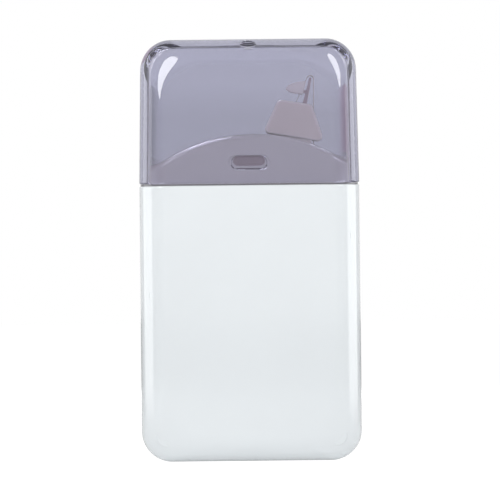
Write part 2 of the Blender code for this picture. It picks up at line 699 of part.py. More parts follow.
def build_take_up_reel(material):
    phase = MESH_ANGLE + math.pi + math.pi / TAKE_UP_TEETH
    reel = prism(gear_outline(TAKE_UP_TEETH, phase), GEAR_INNER, GEAR_OUTER)
    reel = piece("take_up_reel", reel, material, TAKE_UP_AXIS)
    bore_radius = TAKE_UP_AXLE_RADIUS + FIT_GAP
    spigot = TAKE_UP_CORE_RADIUS - DRUM_WALL
    drum = turned(
        [
            (0.0, -GEAR_INNER),
            (spigot, -GEAR_INNER),
            (spigot, -TAPE_EDGE),
            (TAKE_UP_CORE_RADIUS, -TAPE_EDGE),
            (TAKE_UP_CORE_RADIUS, DISC_INNER),
            (TAKE_UP_FLANGE_RADIUS, DISC_INNER),
            (TAKE_UP_FLANGE_RADIUS, DISC_OUTER),
            (TAKE_UP_CORE_RADIUS, DISC_OUTER),
            (TAKE_UP_CORE_RADIUS, GEAR_INNER + GEAR_WEB / 2),
            (0.0, GEAR_INNER + GEAR_WEB / 2),
        ]
    )
    pocket = tube(bore_radius + DRUM_HUB_WALL, spigot, DRUM_WALL - TAPE_EDGE, CASE_OUTER)
    bore = rod((0.0, 0.0), bore_radius, -CASE_OUTER, CASE_OUTER, ROUND_STEPS)
    combine(reel, "UNION", helper("take_up_drum", drum, TAKE_UP_AXIS))
    combine(
        reel,
        "DIFFERENCE",
        helper("take_up_pocket", pocket, TAKE_UP_AXIS),
        helper("take_up_bore", bore, TAKE_UP_AXIS),
    )
    return reel


def build_take_up_flange(material):
    hole = TAKE_UP_CORE_RADIUS - DRUM_WALL + FIT_GAP
    disc = tube(hole, TAKE_UP_FLANGE_RADIUS, -DISC_OUTER, -DISC_INNER)
    return piece("take_up_flange", disc, material, TAKE_UP_AXIS)


def blade_point(across, down):
    """Front-view point beside the tip: across to the left of the feed run, down along it."""
    up = (FEED_RUN[1] - FEED_RUN[0]).normalized()
    left = Vector((-up.y, up.x))
    return TIP_CENTRE + left * across - up * down


def blade_length():
    """From the tip's centre down to the top of the wedge between the flanges, less a gap."""
    return TIP_CENTRE.y - head_point(0.0, HEAD_CORE_HEIGHT).y - FIT_GAP


def build_applicator_head(material):
    foot = BODY_HEIGHT + TANG_RISE
    top = head_point(0.0, HEAD_CORE_HEIGHT).y
    wedge = [
        Vector((along_run(RETURN_RUN, foot) + STRAND_STANDOFF, foot)),
        Vector((along_run(FEED_RUN, foot) - STRAND_STANDOFF, foot)),
        Vector((along_run(FEED_RUN, top) - STRAND_STANDOFF, top)),
        Vector((along_run(RETURN_RUN, top) + STRAND_STANDOFF, top)),
    ]
    half = FLANGE_INNER + FLANGE_THICKNESS / 2
    head = piece("applicator_head", prism(wedge, -half, half), material)
    flange = rounded(
        [
            head_point(-FLANGE_BOTTOM / 2, 0.0),
            head_point(FLANGE_BOTTOM / 2, 0.0),
            head_point(FLANGE_SKEW + FLANGE_TOP / 2, FLANGE_HEIGHT),
            head_point(FLANGE_SKEW - FLANGE_TOP / 2, FLANGE_HEIGHT),
        ],
        FLANGE_CORNER,
    )
    flanges = add(prism(flange, -FLANGE_OUTER, -FLANGE_INNER), prism(flange, FLANGE_INNER, FLANGE_OUTER))
    combine(head, "UNION", helper("head_flanges", flanges))
    holes = bmesh.new()
    for place in head_pin_places():
        add(holes, rod(place, HEAD_PIN_RADIUS + FIT_GAP, -CASE_OUTER, CASE_OUTER))
    start = blade_length() - FIT_GAP
    slot = blade_peg(FIT_GAP, start, blade_length() + BLADE_PEG_LENGTH + FIT_GAP)
    combine(head, "DIFFERENCE", helper("head_holes", holes), helper("head_slot", slot))
    return head


def blade_peg(margin, start, end):
    """The blade's peg, from start to end below the tip, grown by the margin on its sides."""
    middle = BLADE_ROOT / 2 - TIP_RADIUS
    across = BLADE_PEG_THICKNESS / 2 + margin
    outline = [
        blade_point(middle - across, start),
        blade_point(middle + across, start),
        blade_point(middle + across, end),
        blade_point(middle - across, end),
    ]
    half = BLADE_PEG_WIDTH / 2 + margin
    return prism(outline, -half, half)


def build_applicator_tip(material):
    length = blade_length()
    up = (FEED_RUN[1] - FEED_RUN[0]).normalized()
    right_turn = math.atan2(-up.x, up.y)
    nose = arc(TIP_CENTRE, TIP_RADIUS, right_turn, right_turn + math.pi, 6)
    blade = [*nose, blade_point(BLADE_ROOT - TIP_RADIUS, length), blade_point(-TIP_RADIUS, length)]
    tip = piece("applicator_tip", prism(blade, -TAPE_EDGE, TAPE_EDGE), material)
    ear_foot = EAR_TOP + EAR_HEIGHT
    bar = [
        blade_point(-TIP_RADIUS / 2, EAR_TOP + EAR_BAR_INSET),
        blade_point(TIP_RADIUS, EAR_TOP + EAR_BAR_INSET),
        blade_point(TIP_RADIUS, ear_foot - EAR_BAR_INSET),
        blade_point(-TIP_RADIUS / 2, ear_foot - EAR_BAR_INSET),
    ]
    ear = [
        blade_point(0.0, EAR_TOP),
        blade_point(EAR_CREST, EAR_TOP),
        blade_point(EAR_REACH - TIP_RADIUS, EAR_TOP + EAR_SLOPE),
        blade_point(EAR_REACH - TIP_RADIUS, ear_foot - EAR_HEEL),
        blade_point(0.0, ear_foot),
    ]
    half = FLANGE_INNER + EAR_THICKNESS / 2
    outer = FLANGE_INNER + EAR_THICKNESS
    ears = add(prism(ear, -outer, -FLANGE_INNER), prism(ear, FLANGE_INNER, outer))
    peg = blade_peg(0.0, length - BLADE_PEG_LENGTH / 2, length + BLADE_PEG_LENGTH)
    ear_bar = helper("tip_ear_bar", prism(bar, -half, half))
    combine(tip, "UNION", ear_bar, helper("tip_ears", ears), helper("tip_peg", peg))
    return tip


def build_strands(fresh, film):
    """The fresh tape up to and over the tip, and the bare film from there to the take-up."""
    right = FEED_RUN[1] - TIP_CENTRE
    left = RETURN_RUN[0] - TIP_CENTRE
    start = math.atan2(right.y, right.x)
    end = math.atan2(left.y, left.x) % math.tau
    part = end - FIT_GAP / TIP_WRAP
    over = arc(TIP_CENTRE, TIP_WRAP, start, part, 8)
    feed = prism(ribbon([FEED_RUN[0], *over]), -TAPE_EDGE, TAPE_EDGE)
    back = prism(ribbon([RETURN_RUN[0], RETURN_RUN[1]]), -TAPE_EDGE, TAPE_EDGE)
    return piece("tape_feed_strand", feed, fresh), piece("tape_return_strand", back, film)


def main():
    clear_scene()
    white = finish("gloss_white", (0.84, 0.87, 0.90), 0.22)
    smoke = finish("smoky_lilac", (0.60, 0.61, 0.69), 0.05, 1.0)
    natural = finish("natural_white", (0.72, 0.70, 0.72), 0.40)
    blade = finish("blade_white", (0.80, 0.80, 0.82), 0.35)
    gear_grey = finish("gear_white", (0.70, 0.71, 0.72), 0.45)
    rubber = finish("clutch_black", (0.03, 0.03, 0.03), 0.70)
    clear_film = finish("guide_film", (0.80, 0.82, 0.84), 0.20, 0.6)
    coat = finish("tape_coat", (0.92, 0.92, 0.90), 0.60)
    film = finish("carrier_film", (0.78, 0.80, 0.82), 0.25, 0.4)

    build_rear_case(white)
    build_front_case(white)
    build_cap(smoke)
    build_supply_gear(gear_grey)
    build_clutch_ring(rubber)
    build_supply_core(gear_grey)
    build_guide_disc("rear_guide_disc", 1, clear_film)
    build_guide_disc("front_guide_disc", -1, clear_film)
    build_supply_retainer(gear_grey)
    build_roll("tape_supply_roll", SUPPLY_CORE_RADIUS, SUPPLY_ROLL_RADIUS, SUPPLY_AXIS, coat)
    build_take_up_reel(gear_grey)
    build_take_up_flange(gear_grey)
    build_roll("tape_take_up_roll", TAKE_UP_CORE_RADIUS, TAKE_UP_ROLL_RADIUS, TAKE_UP_AXIS, film)
    build_applicator_head(natural)
    build_applicator_tip(blade)
    build_strands(coat, film)


main()
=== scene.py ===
"""Looks of a pocket correction tape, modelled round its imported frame.

Units are metres. X runs across the front, Y from the front face to the back and Z up. Outlines in
the front view are (x, z) points.
"""

import json
import logging
import math
from collections.abc import Callable, Iterable, Sequence
from dataclasses import dataclass, field
from enum import Enum
from typing import Any

import bmesh
import bpy
from mathutils import Euler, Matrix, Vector


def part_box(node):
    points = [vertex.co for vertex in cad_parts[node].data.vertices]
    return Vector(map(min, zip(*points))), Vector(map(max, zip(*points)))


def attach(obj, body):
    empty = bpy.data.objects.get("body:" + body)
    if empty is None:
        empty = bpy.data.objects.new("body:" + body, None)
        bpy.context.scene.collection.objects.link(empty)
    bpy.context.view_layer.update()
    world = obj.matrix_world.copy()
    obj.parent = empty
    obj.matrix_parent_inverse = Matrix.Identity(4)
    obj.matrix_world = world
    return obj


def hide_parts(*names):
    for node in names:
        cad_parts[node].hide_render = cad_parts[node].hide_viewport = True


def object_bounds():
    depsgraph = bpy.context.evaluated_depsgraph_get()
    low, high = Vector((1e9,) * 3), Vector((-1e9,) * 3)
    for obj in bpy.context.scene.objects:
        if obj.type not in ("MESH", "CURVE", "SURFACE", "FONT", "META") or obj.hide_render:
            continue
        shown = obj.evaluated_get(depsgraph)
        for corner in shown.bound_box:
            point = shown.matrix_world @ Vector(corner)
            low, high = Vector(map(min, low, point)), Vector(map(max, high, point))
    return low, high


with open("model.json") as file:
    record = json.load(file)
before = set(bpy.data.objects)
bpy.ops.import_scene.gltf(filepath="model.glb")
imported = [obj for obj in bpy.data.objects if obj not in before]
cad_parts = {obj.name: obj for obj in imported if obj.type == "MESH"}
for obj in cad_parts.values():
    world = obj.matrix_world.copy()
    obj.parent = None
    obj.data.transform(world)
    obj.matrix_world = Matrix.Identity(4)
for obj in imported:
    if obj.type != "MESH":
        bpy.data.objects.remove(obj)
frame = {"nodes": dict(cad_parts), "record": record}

LOG = logging.getLogger("correction_tape")
CAD_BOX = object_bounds()
MM = 0.001
MERGE = 1e-7
SMOOTH_ANGLE = math.radians(32.0)
FLAT_WEIGHT = 100
PLACE_DIGITS = 9
BALL_COLUMNS, BALL_ROWS = 48, 32
POST_SIDES = 40
TURN_STEPS = 64
QUARTER = math.pi / 2
ON_Y = Euler((QUARTER, 0.0, 0.0))
# Face attribute that carries painted shade and painted highlight.
PAINTED_SHADE = "shade"

Point = tuple[float, float]
Colour = tuple[float, float, float]
WHITE: Colour = (1.0, 1.0, 1.0)


class Body(str, Enum):
    """Bodies of the frame that new pieces ride on."""

    CASE = "case"
    CAP = "cap"
    SUPPLY_SPOOL = "supply_spool"
    TAKE_UP = "take_up"


class Side(Enum):
    """Half of the case, as the sign of its Y."""

    FRONT = -1
    REAR = 1


class Boolean(str, Enum):
    """How a tool shape changes a workpiece."""

    JOIN = "UNION"
    CUT = "DIFFERENCE"


class Ray(str, Enum):
    """Kinds of ray that surroundings or glass treat apart."""

    CAMERA = "Is Camera Ray"
    GLOSSY = "Is Glossy Ray"
    TRANSMISSION = "Is Transmission Ray"
    SHADOW = "Is Shadow Ray"
    DIFFUSE = "Is Diffuse Ray"


class LampShape(str, Enum):
    """Outline of a softbox."""

    OVAL = "ELLIPSE"
    SQUARE = "RECTANGLE"


class Graph:
    """Shorthand that fills a node tree."""

    def __init__(self, tree: bpy.types.NodeTree) -> None:
        """Takes the tree that is filled."""
        self.tree = tree

    def add(
        self, kind: str, sockets: dict[str | int, Any] | None = None, **settings: Any
    ) -> bpy.types.Node:
        """Adds a node.

        Args:
            kind: The node's type.
            sockets: Values or links for its inputs, by name or place.
            settings: Properties of the node.

        Returns:
            The new node.
        """
        node = self.tree.nodes.new(kind)
        for name, value in settings.items():
            setattr(node, name, value)
        for key, value in (sockets or {}).items():
            self.fill(node.inputs[key], value)
        return node

    def fill(self, socket: bpy.types.NodeSocket, value: Any) -> None:
        """Fills one input of a node.

        Args:
            socket: The input.
            value: A term or socket to link, or a plain value to set.
        """
        value = value.socket if isinstance(value, Term) else value
        if isinstance(value, bpy.types.NodeSocket):
            self.tree.links.new(value, socket)
        else:
            socket.default_value = value

    def math(self, operation: str, *values: "Term | float") -> "Term":
        """Adds one step of arithmetic and returns its result."""
        node = self.add("ShaderNodeMath", dict(enumerate(values)), operation=operation)
        return Term(self, node.outputs[0])

    def pick(self, test: "Term", yes: "Term | float", no: "Term | float") -> "Term":
        """Returns one value where the test is 1 and the other where it is 0."""
        return test * yes + (1.0 - test) * no


@dataclass(frozen=True)
class Term:
    """A number in a node tree, so that a rule reads as a formula."""

    graph: Graph
    socket: bpy.types.NodeSocket

    def __add__(self, other: "Term | float") -> "Term":
        """Sum."""
        return self.graph.math("ADD", self, other)

    def __sub__(self, other: "Term | float") -> "Term":
        """Difference."""
        return self.graph.math("SUBTRACT", self, other)

    def __rsub__(self, other: float) -> "Term":
        """Difference from a plain number."""
        return self.graph.math("SUBTRACT", other, self)

    def __mul__(self, other: "Term | float") -> "Term":
        """Product."""
        return self.graph.math("MULTIPLY", self, other)

    def __truediv__(self, other: "Term | float") -> "Term":
        """Quotient."""
        return self.graph.math("DIVIDE", self, other)

    def __lt__(self, other: "Term | float") -> "Term":
        """1 where this is below the other, else 0."""
        return self.graph.math("LESS_THAN", self, other)

    def clamped(self, low: "Term | float", high: "Term | float") -> "Term":
        """This number held between two limits."""
        return self.graph.math("MINIMUM", self.graph.math("MAXIMUM", self, low), high)


class ShapeTree(Graph):
    """A Geometry Nodes tree with named sizes."""

    def __init__(self, name: str) -> None:
        """Makes an empty tree that takes points and a finish.

        Args:
            name: Name of the tree.
        """
        super().__init__(bpy.data.node_groups.new(name, "GeometryNodeTree"))
        face = self.tree.interface
        face.new_socket("Points", in_out="INPUT", socket_type="NodeSocketGeometry")
        face.new_socket("Finish", in_out="INPUT", socket_type="NodeSocketMaterial")
        face.new_socket("Piece", in_out="OUTPUT", socket_type="NodeSocketGeometry")
        self.entry = self.tree.nodes.new("NodeGroupInput")

    def size(self, name: str, kind: str = "NodeSocketFloat") -> Term:
        """Adds a named size and returns it as a term."""
        self.tree.interface.new_socket(name, in_out="INPUT", socket_type=kind)
        return Term(self, self.entry.outputs[name])

    def sizes(self, *names: str) -> list[Term]:
        """Adds several named sizes."""
        return [self.size(name) for name in names]

    def counts(self, *names: str) -> list[Term]:
        """Adds several named whole numbers."""
        return [self.size(name, "NodeSocketInt") for name in names]

    def on_points(self, geometry: bpy.types.NodeSocket) -> bpy.types.NodeSocket:
        """Puts a copy of what the tree has made on every point."""
        sockets = {"Points": self.entry.outputs["Points"], "Instance": geometry}
        return self.add("GeometryNodeInstanceOnPoints", sockets).outputs[0]

    def close(self, geometry: bpy.types.NodeSocket) -> "ShapeTree":
        """Ends the tree with real geometry that carries the finish.

        Args:
            geometry: What the tree has made.

        Returns:
            The tree.
        """
        real = self.add("GeometryNodeRealizeInstances", {"Geometry": geometry})
        smooth = self.add("GeometryNodeSetShadeSmooth", {"Geometry": real.outputs[0]})
        finish = {"Geometry": smooth.outputs[0], "Material": self.entry.outputs["Finish"]}
        dressed = self.add("GeometryNodeSetMaterial", finish)
        self.add("NodeGroupOutput", {"Piece": dressed.outputs[0]})
        return self

    def mesh(
        self, name: str, finish: bpy.types.Material, points: Sequence[Vector] = (), **sizes: float
    ) -> bpy.types.Mesh:
        """Runs the tree once.

        Args:
            name: Name of the new mesh.
            finish: Material that the faces take.
            points: Places that the tree puts its shape on, if it repeats one.
            sizes: Values of the named sizes, with underscores for spaces.

        Returns:
            A plain mesh.
        """
        seed = bpy.data.meshes.new(name)
        seed.from_pydata([tuple(point) for point in points], [], [])
        host = bpy.data.objects.new(name, seed)
        bpy.context.scene.collection.objects.link(host)
        modifier = host.modifiers.new(name, "NODES")
        modifier.node_group = self.tree
        values = {key.replace("_", " ").title(): value for key, value in sizes.items()}
        values["Finish"] = finish
        for item in self.tree.interface.items_tree:
            if item.in_out == "INPUT" and item.name in values:
                modifier[item.identifier] = values[item.name]
        result = plain_mesh(host)
        bpy.data.objects.remove(host)
        bpy.data.meshes.remove(seed)
        return result


def plain_mesh(obj: bpy.types.Object) -> bpy.types.Mesh:
    """Makes a mesh with an object's modifiers applied.

    Args:
        obj: Any object with a mesh.

    Returns:
        The new mesh.
    """
    graph = bpy.context.evaluated_depsgraph_get()
    graph.update()
    return bpy.data.meshes.new_from_object(obj.evaluated_get(graph))


def blank(name: str, mesh: bpy.types.Mesh) -> bpy.types.Object:
    """Puts a mesh in an object at the origin, with its doubles merged and its faces outwards.

    Args:
        name: Name of the object.
        mesh: The mesh, which is changed.

    Returns:
        The object.
    """
    bm = bmesh.new()
    bm.from_mesh(mesh)
    bmesh.ops.remove_doubles(bm, verts=bm.verts, dist=MERGE)
    bmesh.ops.dissolve_degenerate(bm, edges=bm.edges, dist=MERGE)
    bmesh.ops.recalc_face_normals(bm, faces=bm.faces)
    bm.to_mesh(mesh)
    bm.free()
    obj = bpy.data.objects.new(name, mesh)
    bpy.context.scene.collection.objects.link(obj)
    return obj


def shape(target: bpy.types.Object, operation: Boolean, *tools: bpy.types.Object) -> bpy.types.Object:
    """Joins tools to a workpiece or cuts them out of it, and removes them.

    Args:
        target: The workpiece.
        operation: Join or cut.
        tools: Closed shapes, used in this order.

    Returns:
        The workpiece with a plain mesh.
    """
    for tool in tools:
        modifier = target.modifiers.new(tool.name, "BOOLEAN")
        modifier.operation = operation.value
        modifier.solver = "EXACT"
        modifier.object = tool
    settle(target)
    for tool in tools:
        bpy.data.objects.remove(tool)
    return target


def settle(obj: bpy.types.Object) -> bpy.types.Object:
    """Applies an object's modifiers to its mesh.

    Args:
        obj: The object.

    Returns:
        The same object with a plain mesh.
    """
    mesh = plain_mesh(obj)
    obj.modifiers.clear()
    obj.data = mesh
    return obj


def soften(obj: bpy.types.Object, width: float, segments: int = 3) -> bpy.types.Object:
    """Rounds an object's sharp edges.

    Args:
        obj: The object.
        width: Width of the rounding.
        segments: Faces across it.

    Returns:
        The same object with a plain mesh.
    """
    modifier = obj.modifiers.new("soft_edges", "BEVEL")
    modifier.width = width
    modifier.segments = segments
    modifier.limit_method = "ANGLE"
    modifier.angle_limit = SMOOTH_ANGLE
    modifier.harden_normals = False
    return settle(obj)


def skin(rows: Sequence[Sequence[Vector]]) -> bpy.types.Mesh:
    """Makes a closed mesh through rings of points.

    Args:
        rows: Rings of equal length. An end ring is filled, unless it closes on itself.

    Returns:
        The mesh.
    """
    bm = bmesh.new()
    rings = [[bm.verts.new(point) for point in row] for row in rows]
    for lower, upper in zip(rings, rings[1:]):
        for i in range(len(lower)):
            bm.faces.new((lower[i - 1], lower[i], upper[i], upper[i - 1]))
    for end in (rings[0], rings[-1]):
        if len({vert.co.to_tuple(PLACE_DIGITS) for vert in end}) == len(end):
            bm.faces.new(end)
    mesh = bpy.data.meshes.new("skin")
    bm.to_mesh(mesh)
    bm.free()
    return mesh


def prism(name: str, outline: Sequence[Point], y0: float, y1: float) -> bpy.types.Object:
    """Returns an outline of the front view, extruded from y0 to y1."""
    return blank(name, skin([[Vector((x, y, z)) for x, z in outline] for y in (y0, y1)]))


def arc(centre: Point, radius: float, start: float, end: float, steps: int) -> list[Vector]:
    """Returns points along an arc of the front view, both ends included."""
    turns = [start + (end - start) * i / steps for i in range(steps + 1)]
    return [Vector((centre[0] + radius * math.cos(t), centre[1] + radius * math.sin(t))) for t in turns]


def slot_outline(centre: Point, width: float, height: float, steps: int = 24) -> list[Vector]:
    """Returns points round a slot of the front view with round ends.

    Args:
        centre: Its middle.
        width: Its length across, ends included.
        height: Its height, which is also the diameter of its ends.
        steps: Steps along each end.

    Returns:
        The outline, anticlockwise.
    """
    radius = height / 2
    reach = width / 2 - radius
    right = arc((centre[0] + reach, centre[1]), radius, -math.pi / 2, math.pi / 2, steps)
    left = arc((centre[0] - reach, centre[1]), radius, math.pi / 2, math.pi * 3 / 2, steps)
    return right + left


def rounded(corners: Sequence[Vector], radius: float, steps: int = 8) -> list[Vector]:
    """Rounds the corners of an outline.

    Args:
        corners: A convex outline, anticlockwise.
        radius: Radius of the corners.
        steps: Steps along each corner.

    Returns:
        The rounded outline.
    """
    points: list[Vector] = []
    for i, corner in enumerate(corners):
        before = (corners[i - 1] - corner).normalized()
        after = (corners[(i + 1) % len(corners)] - corner).normalized()
        half = before.angle(after) / 2
        centre = corner + (before + after).normalized() * radius / math.sin(half)
        start = math.atan2(-before.x, before.y) + math.pi
        points += arc(centre, radius, start, start + math.pi - 2 * half, steps)
    return points


def dish(
    name: str, centre: Point, size: Point, slope: float, floor: float, mouth: float
) -> bpy.types.Object:
    """Returns the cutter of a slot-shaped dish with sloped sides.

    Args:
        name: Name of the cutter.
        centre: Its middle in the front view.
        size: Its width and height at the mouth.
        slope: How far its sides come in towards the floor.
        floor: Y of its floor.
        mouth: Y of its mouth. The cutter goes on as far again.

    Returns:
        The closed cutter.
    """
    rows = []
    for step in (0, 1, 2):
        grow = 2 * slope * (step - 1)
        y = floor + (mouth - floor) * step
        rows.append([Vector((x, y, z)) for x, z in slot_outline(centre, size[0] + grow, size[1] + grow)])
    return blank(name, skin(rows))


def ball(name: str, centre: Vector, radius: float) -> bpy.types.Object:
    """Makes a ball.

    Args:
        name: Name of the ball.
        centre: Its middle.
        radius: Its radius.

    Returns:
        The closed ball.
    """
    bm = bmesh.new()
    bmesh.ops.create_uvsphere(bm, u_segments=BALL_COLUMNS, v_segments=BALL_ROWS, radius=radius)
    bmesh.ops.translate(bm, vec=centre, verts=bm.verts)
    mesh = bpy.data.meshes.new(name)
    bm.to_mesh(mesh)
    bm.free()
    return blank(name, mesh)


def keep_flats_flat(piece: bpy.types.Object) -> None:
    """Lets large faces set the shading at their edges, so that rounding doesn't bend them.

    Args:
        piece: A smooth piece, which is changed.
    """
    modifier = piece.modifiers.new("flat_faces", "WEIGHTED_NORMAL")
    modifier.mode = "FACE_AREA"
    modifier.weight = FLAT_WEIGHT
    modifier.keep_sharp = True
    settle(piece)


def place(
    piece: bpy.types.Object, finish: bpy.types.Material, body: Body, slot: str, *nodes: str
) -> bpy.types.Object:
    """Dresses a finished piece and hands it to the frame.

    Args:
        piece: A piece at the origin with a plain mesh.
        finish: Its material.
        body: The body it rides on.
        slot: The record's slot that its finish belongs to; not used.
        nodes: The nodes of the frame that it stands for.

    Returns:
        The piece.
    """
    piece.data.materials.clear()
    piece.data.materials.append(finish)
    piece.data.polygons.foreach_set("material_index", [0] * len(piece.data.polygons))
    piece.data.shade_smooth()
    piece.data.set_sharp_from_angle(angle=SMOOTH_ANGLE)
    keep_flats_flat(piece)
    piece.data.name = piece.name
    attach(piece, body.value)
    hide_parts(*nodes)
    LOG.info("%s rides on %s for %s: %d faces", piece.name, body.value, nodes, len(piece.data.polygons))
    return piece


def paint_shade_on_faces(piece: bpy.types.Object, rule: Callable[[bpy.types.MeshPolygon], Colour]) -> None:
    """Stores on every face the painted shade or painted highlight that a rule gives it.

    Args:
        piece: The piece, which is changed.
        rule: Gives the shade of a face.
    """
    shades = piece.data.attributes.new(PAINTED_SHADE, "FLOAT_COLOR", "FACE")
    for face, value in zip(piece.data.polygons, shades.data):
        value.color = (*rule(face), 1.0)


def redress(node: str, finish: bpy.types.Material) -> None:
    """Gives a node that keeps its own shape a better finish.

    Args:
        node: The node of the frame.
        finish: Its new material.
    """
    obj = frame["nodes"][node]
    for slot in obj.material_slots:
        slot.material = finish
    LOG.info("%s keeps its shape and takes %s", node, finish.name)


class EffectGroup(Graph):
    """A shader node group that several finishes share."""

    def __init__(self, name: str, output: str, kind: str) -> None:
        """Makes an empty group with a coordinate input and one output.

        Args:
            name: Name of the group.
            output: Name of its output.
            kind: Socket type of its output.
        """
        super().__init__(bpy.data.node_groups.new(name, "ShaderNodeTree"))
        face = self.tree.interface
        face.new_socket("Vector", in_out="INPUT", socket_type="NodeSocketVector")
        face.new_socket(output, in_out="OUTPUT", socket_type=kind)
        self.output = output
        self.entry = self.tree.nodes.new("NodeGroupInput")

    def dial(self, name: str, kind: str = "NodeSocketFloat") -> bpy.types.NodeSocket:
        """Adds a named input."""
        self.tree.interface.new_socket(name, in_out="INPUT", socket_type=kind)
        return self.entry.outputs[name]

    def noise(self, scale: Any, detail: float, stretch: Vector | None = None) -> Term:
        """Adds a noise on the group's coordinates.

        Args:
            scale: Its scale, plain or from a dial.
            detail: Its octaves.
            stretch: Share of the scale along each axis, if they differ.

        Returns:
            The noise, from 0 to 1.
        """
        coordinates = self.entry.outputs["Vector"]
        if stretch is not None:
            stretched = {"Vector": coordinates, "Scale": stretch}
            coordinates = self.add("ShaderNodeMapping", stretched).outputs[0]
        node = self.add("ShaderNodeTexNoise", {"Vector": coordinates, "Scale": scale, "Detail": detail})
        return Term(self, node.outputs["Fac"])

    def close(self, result: Any) -> bpy.types.NodeTree:
        """Links the result and returns the group."""
        self.add("NodeGroupOutput", {self.output: result})
        return self.tree


def flow_tint_group() -> bpy.types.NodeTree:
    """Makes the group that clouds a colour slightly, as resin does where it flowed.

    Returns:
        The group.
    """
    start, gain = 0.3, 2.0
    group = EffectGroup("flow_tint", "Color", "NodeSocketColor")
    pale, deep = group.dial("Pale", "NodeSocketColor"), group.dial("Deep", "NodeSocketColor")
    cloud = group.noise(group.dial("Scale"), detail=3.0)
    mix = group.add("ShaderNodeMix", {0: (cloud - start) * gain, 6: pale, 7: deep}, data_type="RGBA")
    return group.close(mix.outputs[2])


def handled_gloss_group() -> bpy.types.NodeTree:
    """Makes the group that dulls a polish with smudges and fine rubbing marks.

    Returns:
        The group.
    """
    rubbing_scale, rubbing_stretch = 2600.0, Vector((1.0, 1.0, 0.06))
    smudge_start, rubbing_start, gain = 0.42, 0.6, 3.0
    smudge_share, rubbing_share = 0.7, 0.3
    group = EffectGroup("handled_gloss", "Roughness", "NodeSocketFloat")
    polish, worn = Term(group, group.dial("Polish")), Term(group, group.dial("Worn"))
    smudge = group.noise(group.dial("Scale"), detail=4.0)
    rubbing = group.noise(rubbing_scale, detail=2.0, stretch=rubbing_stretch)
    smudges = ((smudge - smudge_start) * gain).clamped(0.0, 1.0) * smudge_share
    marks = smudges + ((rubbing - rubbing_start) * gain).clamped(0.0, 1.0) * rubbing_share
    return group.close(polish + (worn - polish) * marks)


def moulded_skin_group() -> bpy.types.NodeTree:
    """Makes the group with the height of a moulded surface: slow ripple and fine grain.

    Returns:
        The group.
    """
    ripple_scale, grain_scale = 260.0, 6000.0
    group = EffectGroup("moulded_skin", "Height", "NodeSocketFloat")
    ripple, grain = Term(group, group.dial("Ripple")), Term(group, group.dial("Grain"))
    waves = group.noise(ripple_scale, detail=1.0) * ripple
    return group.close(waves + group.noise(grain_scale, detail=2.0) * grain)


@dataclass(frozen=True)
class Effects:
    """Node groups that the finishes share."""

    tint: bpy.types.NodeTree = field(default_factory=flow_tint_group)
    gloss: bpy.types.NodeTree = field(default_factory=handled_gloss_group)
    skin: bpy.types.NodeTree = field(default_factory=moulded_skin_group)


@dataclass(frozen=True)
class Plastic:
    """A moulded finish: clouded colour, handled gloss and a faint moulded skin.

    The colour is linear. Deep is the share of it that the darkest clouds keep.
    """

    name: str
    colour: Colour
    deep: float = 0.97
    cloud_scale: float = 60.0
    polish: float = 0.3
    worn: float = 0.4
    smudge_scale: float = 120.0
    ripple: float = 0.3
    grain: float = 0.05
    relief: float = 0.00002
    ior: float = 1.5
    coat: float = 0.0
    coat_roughness: float = 0.04

    def material(self, effects: Effects) -> bpy.types.Material:
        """Makes the material of this finish.

        Args:
            effects: The shared node groups.

        Returns:
            The material.
        """
        material = bpy.data.materials.new(self.name)
        material.use_nodes = True
        material.node_tree.nodes.clear()
        graph = Graph(material.node_tree)
        where = graph.add("ShaderNodeTexCoord").outputs["Object"]
        shader = graph.add(
            "ShaderNodeBsdfPrincipled",
            {"IOR": self.ior, "Coat Weight": self.coat, "Coat Roughness": self.coat_roughness},
        )
        graph.fill(shader.inputs["Base Color"], self.base_colour(graph, effects, where))
        gloss = {"Vector": where, "Polish": self.polish, "Worn": self.worn, "Scale": self.smudge_scale}
        graph.fill(shader.inputs["Roughness"], self.effect(graph, effects.gloss, gloss))
        skin_values = {"Vector": where, "Ripple": self.ripple, "Grain": self.grain}
        height = self.effect(graph, effects.skin, skin_values)
        bump = graph.add("ShaderNodeBump", {"Height": height, "Distance": self.relief})
        graph.fill(shader.inputs["Normal"], bump.outputs[0])
        output = graph.add("ShaderNodeOutputMaterial", {"Surface": self.surface(graph, shader)})
        self.fill_inside(graph, output)
        return material

    def effect(
        self, graph: Graph, tree: bpy.types.NodeTree, sockets: dict[str, Any]
    ) -> bpy.types.NodeSocket:
        """Places a shared group in a material.

        Args:
            graph: The material's nodes.
            tree: The shared group.
            sockets: Values or links for its inputs.

        Returns:
            The group's output.
        """
        node = graph.add("ShaderNodeGroup", node_tree=tree)
        for key, value in sockets.items():
            graph.fill(node.inputs[key], value)
        return node.outputs[0]

    def base_colour(
        self, graph: Graph, effects: Effects, where: bpy.types.NodeSocket
    ) -> bpy.types.NodeSocket:
        """Adds the clouded colour.

        Args:
            graph: The material's nodes.
            effects: The shared node groups.
            where: The piece's own coordinates.

        Returns:
            The colour.
        """
        pale, deep = (*self.colour, 1.0), (*(self.deep * channel for channel in self.colour), 1.0)
        tint = {"Vector": where, "Pale": pale, "Deep": deep, "Scale": self.cloud_scale}
        return self.effect(graph, effects.tint, tint)

    def surface(self, graph: Graph, shader: bpy.types.Node) -> bpy.types.NodeSocket:
        """Returns what the output shows."""
        return shader.outputs[0]

    def fill_inside(self, graph: Graph, output: bpy.types.Node) -> None:
        """Leaves the inside of an opaque moulding alone."""


